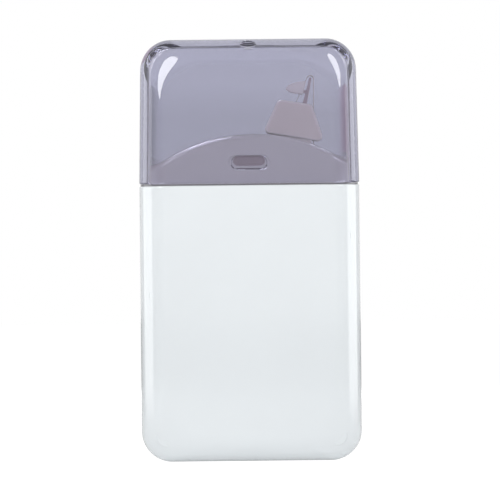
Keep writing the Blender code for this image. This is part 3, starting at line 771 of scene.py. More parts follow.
@dataclass(frozen=True)
class PaintedShadePlastic(Plastic):
    """Opaque plastic that a mesh darkens with painted shade in recesses, grooves and cut sides, or
    lightens with a painted highlight on bevels.
    """

    def base_colour(
        self, graph: Graph, effects: Effects, where: bpy.types.NodeSocket
    ) -> bpy.types.NodeSocket:
        """Adds the clouded colour times the painted shade or painted highlight that the faces carry.

        Args:
            graph: The material's nodes.
            effects: The shared node groups.
            where: The piece's own coordinates.

        Returns:
            The colour.
        """
        plain = super().base_colour(graph, effects, where)
        # Painted shade and painted highlight, read from the faces.
        shade = graph.add("ShaderNodeAttribute", attribute_name=PAINTED_SHADE)
        sockets = {0: 1.0, 6: plain, 7: shade.outputs["Color"]}
        return graph.add("ShaderNodeMix", sockets, data_type="RGBA", blend_type="MULTIPLY").outputs[2]


@dataclass(frozen=True)
class ClearPlastic(Plastic):
    """Clear tinted plastic that lets lamps reach what it covers."""

    lamp_tint: Colour = (0.8, 0.8, 0.8)
    # Painted light: the tint turns paler towards the top, from one height to another.
    painted_top_light: float = 1.0
    painted_light_start: float = 0.0
    painted_light_end: float = 1.0
    dye: Colour = (0.0, 0.0, 0.0)
    dye_density: float = 0.0

    def base_colour(
        self, graph: Graph, effects: Effects, where: bpy.types.NodeSocket
    ) -> bpy.types.NodeSocket:
        """Adds the clouded colour, paler towards the top as painted light, from one height to another.

        Args:
            graph: The material's nodes.
            effects: The shared node groups.
            where: The piece's own coordinates.

        Returns:
            The colour.
        """
        tint = super().base_colour(graph, effects, where)
        height = Term(graph, graph.add("ShaderNodeSeparateXYZ", {0: where}).outputs[2])
        share = ((height - self.painted_light_start) / (self.painted_light_end - self.painted_light_start)).clamped(0.0, 1.0)
        sockets = {0: share, 6: tint, 7: (*(self.painted_top_light * channel for channel in self.colour), 1.0)}
        return graph.add("ShaderNodeMix", sockets, data_type="RGBA").outputs[2]

    def surface(self, graph: Graph, shader: bpy.types.Node) -> bpy.types.NodeSocket:
        """Adds the glass, open and tinted for light on its way to what is behind it.

        Args:
            graph: The material's nodes.
            shader: The plastic's shader.

        Returns:
            What the output shows.
        """
        graph.fill(shader.inputs["Transmission Weight"], 1.0)
        path = graph.add("ShaderNodeLightPath")
        result = shader.outputs[0]
        for ray in (Ray.SHADOW, Ray.DIFFUSE):
            open_side = graph.add("ShaderNodeBsdfTransparent", {"Color": (*self.lamp_tint, 1.0)})
            mix = {0: path.outputs[ray.value], 1: result, 2: open_side.outputs[0]}
            result = graph.add("ShaderNodeMixShader", mix).outputs[0]
        return result

    def fill_inside(self, graph: Graph, output: bpy.types.Node) -> None:
        """Lets the dye darken long ways through the plastic.

        Args:
            graph: The material's nodes.
            output: The material's output node.
        """
        if self.dye_density > 0.0:
            sockets = {"Color": (*self.dye, 1.0), "Density": self.dye_density}
            volume = graph.add("ShaderNodeVolumeAbsorption", sockets)
            graph.fill(output.inputs["Volume"], volume.outputs[0])


@dataclass
class Finishes:
    """Every finish on the object."""

    effects: Effects = field(default_factory=Effects)
    case: bpy.types.Material = field(init=False)
    cap: bpy.types.Material = field(init=False)
    head: bpy.types.Material = field(init=False)
    tip: bpy.types.Material = field(init=False)
    coat: bpy.types.Material = field(init=False)
    film: bpy.types.Material = field(init=False)
    gear: bpy.types.Material = field(init=False)
    core: bpy.types.Material = field(init=False)
    guide: bpy.types.Material = field(init=False)
    rubber: bpy.types.Material = field(init=False)

    def __post_init__(self) -> None:
        """Makes the materials."""
        recipes = {
            "case": PaintedShadePlastic(
                "gloss_white", (0.80, 0.84, 0.865), polish=0.07, worn=0.15, ior=1.6, coat=0.9
            ),
            "cap": ClearPlastic(
                "smoky_lilac",
                (0.580, 0.582, 0.664),
                deep=0.985,
                cloud_scale=45.0,
                polish=0.0,
                worn=0.012,
                ripple=0.12,
                grain=0.0,
                ior=1.57,
                lamp_tint=(0.79, 0.745, 0.775),
                # Painted light: paler towards the cap's top.
                painted_top_light=1.065,
                painted_light_start=56.5 * MM,
                painted_light_end=62.0 * MM,
                dye=(0.1, 0.1, 0.3),
                dye_density=45.0,
            ),
            "head": PaintedShadePlastic(
                "natural_moulding", (0.92, 0.90, 0.88), polish=0.15, worn=0.28, grain=0.1
            ),
            "tip": PaintedShadePlastic("soft_blade", (0.95, 0.97, 0.98), polish=0.3, worn=0.45, grain=0.15),
            "coat": Plastic("chalk_coat", (0.88, 0.88, 0.86), polish=0.6, worn=0.75, grain=0.5),
            "film": Plastic("carrier_film", (0.78, 0.80, 0.82), polish=0.18, worn=0.3, grain=0.1),
            "gear": Plastic("slippery_gear", (0.72, 0.73, 0.74), polish=0.38, worn=0.5, grain=0.2),
            "core": Plastic("core_moulding", (0.68, 0.71, 0.75), polish=0.4, worn=0.5, grain=0.2),
            "guide": ClearPlastic("guide_film", (0.90, 0.92, 0.93), polish=0.05, worn=0.15, grain=0.0),
            "rubber": Plastic(
                "clutch_rubber", (0.03, 0.03, 0.03), deep=0.7, polish=0.6, worn=0.8, grain=0.6
            ),
        }
        for name, recipe in recipes.items():
            setattr(self, name, recipe.material(self.effects))


def rounded_slab_tree() -> ShapeTree:
    """Makes the rule of a flat pocket shape.

    The pocket has a flat end and, at its other end, two round corners. Its long edges roll over to
    the front and back, where the corners get rounder, and the rim of its flat end is eased. One grid
    makes it: columns run round the front view from the flat end and back, rows run from the front
    face over the side to the back.

    Returns:
        The tree.
    """
    tree = ShapeTree("rounded_slab")
    half_width, flat_end, round_end = tree.sizes("Half Width", "Flat End", "Round End")
    half_depth, corner, face_corner = tree.sizes("Half Depth", "Corner", "Face Corner")
    edge, edge_depth, rim, draft = tree.sizes("Edge", "Edge Depth", "Rim", "Draft")
    corner_steps, edge_steps, rim_steps = tree.counts("Corner Steps", "Edge Steps", "Rim Steps")
    way = tree.math("SIGN", round_end - flat_end)

    last_column = (corner_steps + rim_steps) * 2.0 + 5.0
    last_row = edge_steps * 2.0 + 3.0
    grid = tree.add(
        "GeometryNodeMeshGrid",
        {0: last_column, 1: last_row, 2: last_column + 1.0, 3: last_row + 1.0},
    )
    spot = tree.add("ShaderNodeSeparateXYZ", {0: tree.add("GeometryNodeInputPosition").outputs[0]})
    column = tree.math("ROUND", Term(tree, spot.outputs[0]) + last_column * 0.5)
    row = tree.math("ROUND", Term(tree, spot.outputs[1]) + last_row * 0.5)

    right = column < last_column * 0.5
    from_end = tree.math("MINIMUM", column, last_column - column)
    closing_end = from_end < 0.5
    on_rim = from_end < rim_steps + 1.5
    rim_turn = (from_end - 1.0).clamped(0.0, rim_steps) / rim_steps * QUARTER
    inset = rim * (1.0 - tree.math("SINE", rim_turn))
    turn = (from_end - rim_steps - 2.0).clamped(0.0, corner_steps) / corner_steps * QUARTER

    front = row < last_row * 0.5
    from_face = tree.math("MINIMUM", row, last_row - row)
    closing_face = from_face < 0.5
    tilt = (from_face - 1.0).clamped(0.0, edge_steps) / edge_steps * QUARTER
    roll = tree.math("SINE", tilt)
    reach = face_corner + (corner - face_corner) * roll
    contour = edge * (roll - 1.0) - reach
    across = (half_width - inset + contour + reach * tree.math("COSINE", turn)) * (right * 2.0 - 1.0)
    across = across * (1.0 - closing_end) * (1.0 - closing_face)
    rise = contour + tree.pick(closing_face, 0.0, reach * tree.math("SINE", turn))
    along = tree.pick(
        on_rim, flat_end + way * rim * (1.0 - tree.math("COSINE", rim_turn)), round_end + way * rise
    )
    depth = (half_depth - inset - edge_depth * (1.0 - tree.math("COSINE", tilt))) * (1.0 - front * 2.0)
    lean = 1.0 - draft * ((along - flat_end) / (round_end - flat_end)) / half_width
    position = tree.add("ShaderNodeCombineXYZ", {0: across * lean, 1: depth * lean, 2: along})
    places = {"Geometry": grid.outputs[0], "Position": position.outputs[0]}
    moved = tree.add("GeometryNodeSetPosition", places).outputs[0]
    merged = tree.add("GeometryNodeMergeByDistance", {"Geometry": moved, "Distance": MERGE})
    return tree.close(merged.outputs[0])


def post_tree() -> ShapeTree:
    """Makes the rule that stands one round post along Y on every point.

    Returns:
        The tree.
    """
    tree = ShapeTree("posts")
    radius, start, end = tree.sizes("Radius", "Start", "End")
    sizes = {"Vertices": POST_SIDES, "Radius": radius, "Depth": end - start}
    bar = tree.add("GeometryNodeMeshCylinder", sizes)
    shift = tree.add("ShaderNodeCombineXYZ", {1: (start + end) * 0.5})
    laid = tree.add(
        "GeometryNodeTransform",
        {"Geometry": bar.outputs[0], "Rotation": ON_Y, "Translation": shift.outputs[0]},
    )
    return tree.close(tree.on_points(laid.outputs[0]))


def winding_tree() -> ShapeTree:
    """Makes the rule of a tape wound in a spiral round the Y axis.

    Returns:
        The tree.
    """
    tree = ShapeTree("winding")
    start, end, turns, thickness, width = tree.sizes("Start", "End", "Turns", "Thickness", "Width")
    sizes = {"Resolution": TURN_STEPS, "Rotations": turns, "Start Radius": start, "End Radius": end}
    spiral = tree.add("GeometryNodeCurveSpiral", sizes | {"Height": 0.0})
    section = tree.add("GeometryNodeCurvePrimitiveQuadrilateral", {"Width": thickness, "Height": width})
    band = tree.add(
        "GeometryNodeCurveToMesh",
        {"Curve": spiral.outputs[0], "Profile Curve": section.outputs[0], "Fill Caps": True},
    )
    laid = tree.add("GeometryNodeTransform", {"Geometry": band.outputs[0], "Rotation": ON_Y})
    return tree.close(tree.on_points(laid.outputs[0]))


@dataclass(frozen=True)
class ShapeRules:
    """Geometry Nodes trees that the pieces share."""

    slab: ShapeTree = field(default_factory=rounded_slab_tree)
    posts: ShapeTree = field(default_factory=post_tree)
    winding: ShapeTree = field(default_factory=winding_tree)


@dataclass
class Workshop:
    """What every sub-assembly is made with."""

    finishes: Finishes = field(default_factory=Finishes)
    rules: ShapeRules = field(default_factory=ShapeRules)


@dataclass
class Layout:
    """Places that several sub-assemblies share, read from the frame."""

    strand_gap: float = 0.3 * MM
    strand_thickness: float = 0.12 * MM
    tip_radius: float = 0.2 * MM

    def __post_init__(self) -> None:
        """Reads the axes, the wound radii and the tip."""
        joints = {joint["name"]: joint for joint in frame["record"]["behaviour"]["joints"]}
        supply, take_up = (Vector(joints[name]["pos_m"]) for name in ("supply_gear_spin", "take_up_spin"))
        self.supply_axis = Vector((supply.x, supply.z))
        self.take_up_axis = Vector((take_up.x, take_up.z))
        self.supply_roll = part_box("tape_supply_roll")[1].x - supply.x
        self.take_up_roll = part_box("tape_take_up_roll")[1].x - take_up.x
        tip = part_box("applicator_tip")[1]
        self.tip = Vector((tip.x - self.tip_radius, tip.z - self.tip_radius))
        self.tape_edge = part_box("tape_feed_strand")[1].y
        standoff = self.strand_gap + self.strand_thickness / 2
        self.standoff = standoff
        self.wrap = self.tip_radius + standoff
        fresh, bare = self.supply_roll + standoff, self.take_up_roll + standoff
        self.feed_run = tangent_run(self.supply_axis, fresh, self.tip, self.wrap)
        self.return_run = tangent_run(self.tip, self.wrap, self.take_up_axis, -bare)


def tangent_run(
    first: Vector, first_wrap: float, second: Vector, second_wrap: float
) -> tuple[Vector, Vector]:
    """Returns the ends of a taut run between two circles.

    Args:
        first: Centre of the circle that the run leaves.
        first_wrap: Its radius, positive if the circle is on the run's left.
        second: Centre of the circle that the run meets.
        second_wrap: Its radius, with the same sign rule.

    Returns:
        The points where the run leaves and meets the circles.
    """
    span = second - first
    turn = math.atan2(span.y, span.x) - math.acos((first_wrap - second_wrap) / span.length)
    right = Vector((math.cos(turn), math.sin(turn)))
    return first + right * first_wrap, second + right * second_wrap


def along_run(run: tuple[Vector, Vector], height: float) -> float:
    """Returns the X of a taut run at this height."""
    start, end = run
    return start.x + (end.x - start.x) * (height - start.y) / (end.y - start.y)


@dataclass
class Case:
    """The two white shells with the arched neck, their latch recesses and inner posts."""

    shop: Workshop
    layout: Layout
    corner: float = 5.0 * MM
    face_corner: float = 7.4 * MM
    edge: float = 4.2 * MM
    edge_depth: float = 3.8 * MM
    wall: float = 1.2 * MM
    land_inset: float = 0.18 * MM
    land_gap: float = 0.03 * MM
    shoulder_rim: float = 0.22 * MM
    seam: float = 0.10 * MM
    neck_side: float = 2.2 * MM
    neck_face: float = 1.6 * MM
    neck_corner: float = 2.3 * MM
    neck_edge: float = 0.9 * MM
    neck_wall: float = 1.0 * MM
    dome_camber: float = 4.97 * MM
    dome_shift: float = 0.7 * MM
    dome_drop: float = 0.12 * MM
    latch_rise: float = 3.7 * MM
    latch_size: Point = (6.9 * MM, 2.55 * MM)
    latch_depth: float = 0.2 * MM
    latch_slope: float = 0.25 * MM
    catch_size: Point = (6.2 * MM, 2.2 * MM)
    catch_depth: float = 0.4 * MM
    catch_slope: float = 0.19 * MM
    pocket_size: Point = (5.2 * MM, 1.6 * MM)
    pocket_rise: float = 0.25 * MM
    pocket_depth: float = 0.6 * MM
    # Painted shade: darker colour in the latch recess and in the groove under the cap's rim.
    painted_pocket_shade: Colour = (0.57, 0.48, 0.52)
    painted_catch_shade: Colour = (0.18, 0.16, 0.19)
    painted_groove_shade: Colour = (0.14, 0.13, 0.15)
    mouth_margin: float = 0.6 * MM
    tongue_inner: float = 0.1 * MM
    tongue_outer: float = 0.5 * MM
    tongue_height: float = 0.8 * MM
    socket_radius: float = 1.6 * MM
    pin_radius: float = 0.7 * MM
    pin_inset: float = 2.9 * MM
    pin_depth: float = 2.6 * MM
    fit: float = 0.3 * MM
    supply_axle: float = 2.0 * MM
    take_up_axle: float = 1.5 * MM
    boss_wall: float = 0.8 * MM
    guide_radius: float = 0.9 * MM
    guide_drop: float = 3.0 * MM
    head_pin: float = 0.8 * MM
    head_pin_spacing: float = 2.8 * MM
    head_pin_rise: float = 2.8 * MM
    sink: float = 0.4 * MM
    catch_facing: float = 0.3
    groove_facing: float = 0.5
    corner_steps: int = 24
    edge_steps: int = 16
    rim_steps: int = 4
    neck_edge_steps: int = 6
    neck_side_steps: int = 48
    neck_corner_steps: int = 10
    rail_steps: int = 16

    def __post_init__(self) -> None:
        """Reads the overall sizes from the frame."""
        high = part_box("rear_case")[1]
        self.half_width, self.half_depth, self.crown = high.x, high.y, high.z
        self.cap_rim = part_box("cap")[0].z
        self.shoulder = self.cap_rim - self.fit
        self.neck_half = self.half_width - self.neck_side
        self.neck_depth = self.half_depth - self.neck_face
        self.dome_radius = (self.neck_half**2 + self.dome_camber**2) / (2 * self.dome_camber)
        self.latch = (0.0, self.shoulder + self.latch_rise)
        head_low, head_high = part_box("applicator_head")
        self.mouth_sides = head_low.x - self.mouth_margin, head_high.x + self.mouth_margin
        self.mouth_depth = head_high.y + self.mouth_margin
        self.inner_half = self.half_width - self.wall
        self.inner_depth = self.half_depth - self.wall
        layout = self.layout
        self.axles = (layout.supply_axis, self.supply_axle), (layout.take_up_axis, self.take_up_axle)

    def build(self) -> None:
        """Makes both shells."""
        for side, node in ((Side.FRONT, "front_case"), (Side.REAR, "rear_case")):
            shell = self.shell(side, node)
            if side is Side.REAR:
                self.add_axles(shell)
            else:
                self.add_bosses(shell)
            # Painted shade in the latch recess and the groove.
            paint_shade_on_faces(shell, self.painted_face_shade)
            shell.name = node + "_shell"
            place(shell, self.shop.finishes.case, Body.CASE, "case_white", node)

    def dome(self, x: float) -> float:
        """Returns the height of the arched neck at this x."""
        rise = math.sqrt(self.dome_radius**2 - (x - self.dome_shift) ** 2)
        return self.crown - self.dome_drop - self.dome_radius + rise

    def slab(self, name: str, wall: float, flat_end: float) -> bpy.types.Object:
        """Makes the body's outer shape or its hollow.

        Args:
            name: Name of the shape.
            wall: How far it is inside the outer faces.
            flat_end: Height of its open end.

        Returns:
            The closed shape.
        """
        mesh = self.shop.rules.slab.mesh(
            name,
            self.shop.finishes.case,
            half_width=self.half_width - wall,
            flat_end=flat_end,
            round_end=wall,
            half_depth=self.half_depth - wall,
            corner=self.corner - wall,
            face_corner=self.face_corner - wall,
            edge=self.edge - wall,
            edge_depth=self.edge_depth - wall,
            rim=self.shoulder_rim if wall == 0.0 else MERGE,
            draft=0.0,
            corner_steps=self.corner_steps,
            edge_steps=self.edge_steps,
            rim_steps=self.rim_steps,
        )
        return blank(name, mesh)

    def neck(self, name: str, inset: float, foot: float, edge: float) -> bpy.types.Object:
        """Makes the arched neck as a block.

        Args:
            name: Name of the block.
            inset: How far it is inside the neck's outer faces.
            foot: Height of its foot.
            edge: Rounding of its upper edge.

        Returns:
            The closed block.
        """
        rows = [[Vector((x, y, foot)) for x, y in self.neck_outline(inset)]]
        for i in range(self.neck_edge_steps + 1):
            turn = QUARTER * i / self.neck_edge_steps
            ring = self.neck_outline(inset + edge * (1 - math.cos(turn)))
            drop = inset + edge * (1 - math.sin(turn))
            rows.append([Vector((x, y, self.dome(x) - drop)) for x, y in ring])
        rows.append([Vector((point.x, 0.0, point.z)) for point in rows[-1]])
        rows.insert(0, [Vector((point.x, 0.0, foot)) for point in rows[0]])
        return blank(name, skin(rows))

    def neck_outline(self, inset: float) -> list[Point]:
        """Draws the neck as it is seen from above, its long sides finely divided.

        Args:
            inset: How far the line is inside the neck's outer faces.

        Returns:
            Points (x, y), anticlockwise.
        """
        half_x, half_y = self.neck_half - inset, self.neck_depth - inset
        corner = max(self.neck_corner - inset, self.neck_edge)
        quarters = ((1, 1), (-1, 1), (-1, -1), (1, -1))
        corners = [Vector((half_x * i, half_y * j)) for i, j in quarters]
        ring = rounded(corners, corner, self.neck_corner_steps)
        outline: list[Point] = []
        for start, end in zip(ring, ring[1:] + ring[:1]):
            steps = self.neck_side_steps if abs(end.x - start.x) > half_x else 1
            outline += [tuple(start.lerp(end, i / steps)) for i in range(steps)]
        return outline

    def shell(self, side: Side, node: str) -> bpy.types.Object:
        """Makes one hollow half of the case.

        Args:
            side: Which half.
            node: Name of the half.

        Returns:
            The half, with nothing inside it yet.
        """
        sign = side.value
        body = self.slab(node, 0.0, self.shoulder)
        land = self.slab("land", self.land_inset, self.cap_rim - self.land_gap)
        neck = self.neck("neck", 0.0, self.shoulder - self.wall / 2, self.neck_edge)
        shape(body, Boolean.JOIN, land, neck)
        foot = self.shoulder - self.wall
        x0, x1 = self.mouth_sides
        mouth = [(x0, foot), (x1, foot), (x1, self.crown + self.wall), (x0, self.crown + self.wall)]
        other_half = [
            (i * 2 * self.half_width, j * 2 * self.crown) for i, j in ((-1, -1), (1, -1), (1, 1), (-1, 1))
        ]
        shape(
            body,
            Boolean.CUT,
            self.slab("hollow", self.wall, foot),
            self.neck("neck_hollow", self.neck_wall, foot - self.wall, self.neck_edge),
            prism("mouth", mouth, -self.mouth_depth, self.mouth_depth),
            *self.latch_cutters(sign),
            prism("other_half", other_half, sign * self.seam / 2, -sign * self.half_width),
        )
        return body

    def latch_cutters(self, sign: int) -> list[bpy.types.Object]:
        """Makes the cutters of the stepped recess that the cap's nub snaps into.

        Args:
            sign: Sign of the half's Y.

        Returns:
            The cutters, outer step first.
        """
        depths = (0.0, self.latch_depth, self.catch_depth, self.pocket_depth)
        face, latch, catch, pocket = (sign * (self.neck_depth - depth) for depth in depths)
        raised = self.latch[0], self.latch[1] + self.pocket_rise
        return [
            dish("latch", self.latch, self.latch_size, self.latch_slope, latch, face),
            dish("catch", self.latch, self.catch_size, self.catch_slope, catch, latch),
            dish("pocket", raised, self.pocket_size, self.catch_slope, pocket, catch),
        ]

    def add_axles(self, shell: bpy.types.Object) -> None:
        """Adds what is moulded inside the rear shell: tongue, axle posts, sockets, guide and head pins.

        Args:
            shell: The hollow rear half, which is changed.
        """
        root, pins, tape_side = self.inner_depth + self.sink, self.pin_places(), -self.layout.tape_edge
        tongue_sizes = self.tongue_inner, self.tongue_outer, -self.tongue_height, self.fit + self.sink
        shape(shell, Boolean.JOIN, self.rail("tongue", *tongue_sizes))
        tip = self.fit - self.inner_depth
        bars = [self.posts("axle", [axis], radius, tip, root) for axis, radius in self.axles]
        bars.append(self.posts("sockets", pins, self.socket_radius, self.fit, root))
        bars.append(self.posts("guide", [self.guide_place()], self.guide_radius, tape_side, root))
        neck_root = self.neck_depth - self.neck_wall + self.sink
        bars.append(self.posts("head_pins", self.head_pins(), self.head_pin, tape_side, neck_root))
        shape(shell, Boolean.JOIN, *bars)
        bore, depth = self.pin_radius + self.fit, self.pin_depth + self.fit
        shape(shell, Boolean.CUT, self.posts("bores", pins, bore, -self.fit, depth))

    def add_bosses(self, shell: bpy.types.Object) -> None:
        """Adds what is moulded inside the front shell: sockets, pins, bored bosses and the seam's groove.

        Args:
            shell: The hollow front half, which is changed.
        """
        root, pins = self.inner_depth + self.sink, self.pin_places()
        bars = [self.posts("sockets", pins, self.socket_radius, -root, -self.fit)]
        bars.append(self.posts("pins", pins, self.pin_radius, -self.socket_radius, self.pin_depth))
        ends = (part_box("supply_retainer")[0].y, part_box("take_up_reel")[0].y)
        for (axis, radius), end in zip(self.axles, ends):
            outer = radius + self.fit + self.boss_wall
            bars.append(self.posts("boss", [axis], outer, -root, end - self.fit))
        shape(shell, Boolean.JOIN, *bars)
        deep = -self.inner_depth
        bores = [self.posts("bore", [axis], radius + self.fit, deep, 0.0) for axis, radius in self.axles]
        groove_outer = self.tongue_outer + self.fit / 2
        groove = self.rail("groove", -self.wall, groove_outer, -self.tongue_height - self.fit, self.fit)
        shape(shell, Boolean.CUT, *bores, groove)

    def posts(
        self, name: str, places: Iterable[Sequence[float]], radius: float, start: float, end: float
    ) -> bpy.types.Object:
        """Makes round bars along Y.

        Args:
            name: Name of the bars.
            places: Places of the front view that they stand on.
            radius: Their radius.
            start: Y of their front ends.
            end: Y of their rear ends.

        Returns:
            The closed bars, in one object.
        """
        points = [Vector((x, 0.0, z)) for x, z in places]
        mesh = self.shop.rules.posts.mesh(
            name, self.shop.finishes.case, points, radius=radius, start=start, end=end
        )
        return blank(name, mesh)

    def rail(self, name: str, inner: float, outer: float, y0: float, y1: float) -> bpy.types.Object:
        """Returns a U-shaped rail in the wall, from the base up to the shoulder."""
        top = self.shoulder - self.wall - self.fit
        return prism(name, self.wall_line(outer, top) + self.wall_line(inner, top)[::-1], y0, y1)

    def wall_line(self, offset: float, top: float) -> list[Vector]:
        """Draws a line along the wall in the front view, open at the top.

        Args:
            offset: How far it is outside the wall's inner face.
            top: Height of its ends.

        Returns:
            The line, from its right end round the base to its left end.
        """
        half = self.inner_half + offset
        corner = self.corner - self.wall + offset
        base = self.wall - offset + corner
        right = arc((half - corner, base), corner, 0.0, -QUARTER, self.rail_steps)
        left = arc((corner - half, base), corner, -QUARTER, -math.pi, self.rail_steps)
        return [Vector((half, top)), *right, *left, Vector((-half, top))]

    def pin_places(self) -> list[Point]:
        """Places the closing pins: base corners, beside the fresh tape and between the spools.

        Returns:
            Their places in the front view.
        """
        side = self.inner_half - self.pin_inset
        base = self.wall + self.pin_inset
        by_wall = self.inner_half - self.socket_radius - self.fit
        between = (self.layout.supply_axis.y + self.layout.take_up_axis.y) / 2
        return [(side, base), (-side, base), (by_wall, self.layout.take_up_axis.y), (-by_wall, between)]

    def guide_place(self) -> Point:
        """Places the post that the fresh tape runs past below the shoulder.

        Returns:
            Its place in the front view.
        """
        height = self.shoulder - self.guide_drop
        x = along_run(self.layout.feed_run, height) - self.layout.standoff - self.guide_radius
        return x, height

    def head_pins(self) -> list[Point]:
        """Places the two pins that carry the applicator head.

        Returns:
            Their places in the front view.
        """
        height = self.shoulder + self.head_pin_rise
        middle = (along_run(self.layout.feed_run, height) + along_run(self.layout.return_run, height)) / 2
        return [(middle + i * self.head_pin_spacing / 2, height) for i in (-1, 1)]

    def painted_face_shade(self, face: bpy.types.MeshPolygon) -> Colour:
        """Gives a face its painted shade: dark in the latch and in the groove under the cap's rim.

        Args:
            face: A face of a shell.

        Returns:
            Its shade.
        """
        x, y, z = face.center
        depth = self.neck_depth - abs(y)
        if abs(x) < self.latch_size[0] / 2 and abs(z - self.latch[1]) < self.latch_size[1] / 2:
            if self.catch_depth + MERGE < depth < self.pocket_depth + MERGE:
                return self.painted_pocket_shade
            in_catch = self.latch_depth + MERGE < depth < self.catch_depth - MERGE
            return self.painted_catch_shade if in_catch and face.normal.z > self.catch_facing else WHITE
        outside_neck = max(abs(x) - self.neck_half, abs(y) - self.neck_depth) > MERGE
        in_groove = z > self.shoulder + MERGE and abs(face.normal.z) < self.groove_facing
        return self.painted_groove_shade if outside_neck and in_groove else WHITE


@dataclass
class Cap:
    """The clear pull-off cap with its gate dimple and latch nubs."""

    shop: Workshop
    case: Case
    wall: float = 1.15 * MM
    roof: float = 1.4 * MM
    inner_edge: float = 0.6 * MM
    rim: float = 0.3 * MM
    draft: float = 0.42 * MM
    dimple_width: float = 2.9 * MM
    dimple_depth: float = 0.65 * MM
    dimple_turn: float = math.radians(40.0)
    nub_width: float = 5.8 * MM
    nub_height: float = 2.35 * MM
    nub_reach: float = 0.3 * MM
    nub_edge: float = 0.14 * MM
    corner_steps: int = 32
    edge_steps: int = 20
    rim_steps: int = 4

    def __post_init__(self) -> None:
        """Reads the cap's ends from the frame."""
        low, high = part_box("cap")
        self.rim_height, self.top = low.z, high.z

    def build(self) -> None:
        """Makes the cap."""
        cap = self.slab("cap_clear", 0.0, 0.0, self.rim_height)
        hollow = self.slab("cap_hollow", self.wall, self.roof, self.rim_height - self.wall)
        shape(hollow, Boolean.CUT, *(self.nub(side) for side in Side))
        shape(cap, Boolean.CUT, hollow, self.dimple())
        place(cap, self.shop.finishes.cap, Body.CAP, "cap_smoke", "cap")

    def slab(self, name: str, wall: float, roof: float, flat_end: float) -> bpy.types.Object:
        """Makes the cap's outer shape or its hollow.

        Args:
            name: Name of the shape.
            wall: How far it is inside the front and back faces, above zero for the hollow.
            roof: How far it is inside the crown and the sides.
            flat_end: Height of its open end.

        Returns:
            The closed shape.
        """
        mesh = self.shop.rules.slab.mesh(
            name,
            self.shop.finishes.cap,
            half_width=self.case.half_width - roof,
            flat_end=flat_end,
            round_end=self.top - roof,
            half_depth=self.case.half_depth - wall,
            corner=self.case.corner - roof,
            face_corner=self.case.face_corner - wall,
            edge=self.inner_edge if wall else self.case.edge,
            edge_depth=self.inner_edge if wall else self.case.edge_depth,
            rim=MERGE if wall else self.rim,
            draft=self.draft,
            corner_steps=self.corner_steps,
            edge_steps=self.edge_steps,
            rim_steps=self.rim_steps,
        )
        return blank(name, mesh)

    def dimple(self) -> bpy.types.Object:
        """Makes the ball that sinks the gate dimple into the crown's front rounding.

        Returns:
            The cutter.
        """
        ahead, up = math.sin(self.dimple_turn), math.cos(self.dimple_turn)
        edge, depth = self.case.edge, self.case.edge_depth
        span = math.hypot(depth * ahead, edge * up)
        skin_y = depth - self.case.half_depth - depth * depth * ahead / span
        skin_z = self.top - edge + edge * edge * up / span
        radius = (self.dimple_width**2 / 4 + self.dimple_depth**2) / (2 * self.dimple_depth)
        out = radius - self.dimple_depth
        return ball("dimple", Vector((0.0, skin_y - out * ahead, skin_z + out * up)), radius)

    def nub(self, side: Side) -> bpy.types.Object:
        """Makes the latch nub inside one face.

        Args:
            side: Which face.

        Returns:
            The closed nub.
        """
        inner = self.case.half_depth - self.wall
        outline = slot_outline(self.case.latch, self.nub_width, self.nub_height)
        face, root = side.value * (inner - self.nub_reach), side.value * (inner + self.wall / 2)
        return soften(prism(f"nub_{side.name}", outline, face, root), self.nub_edge)


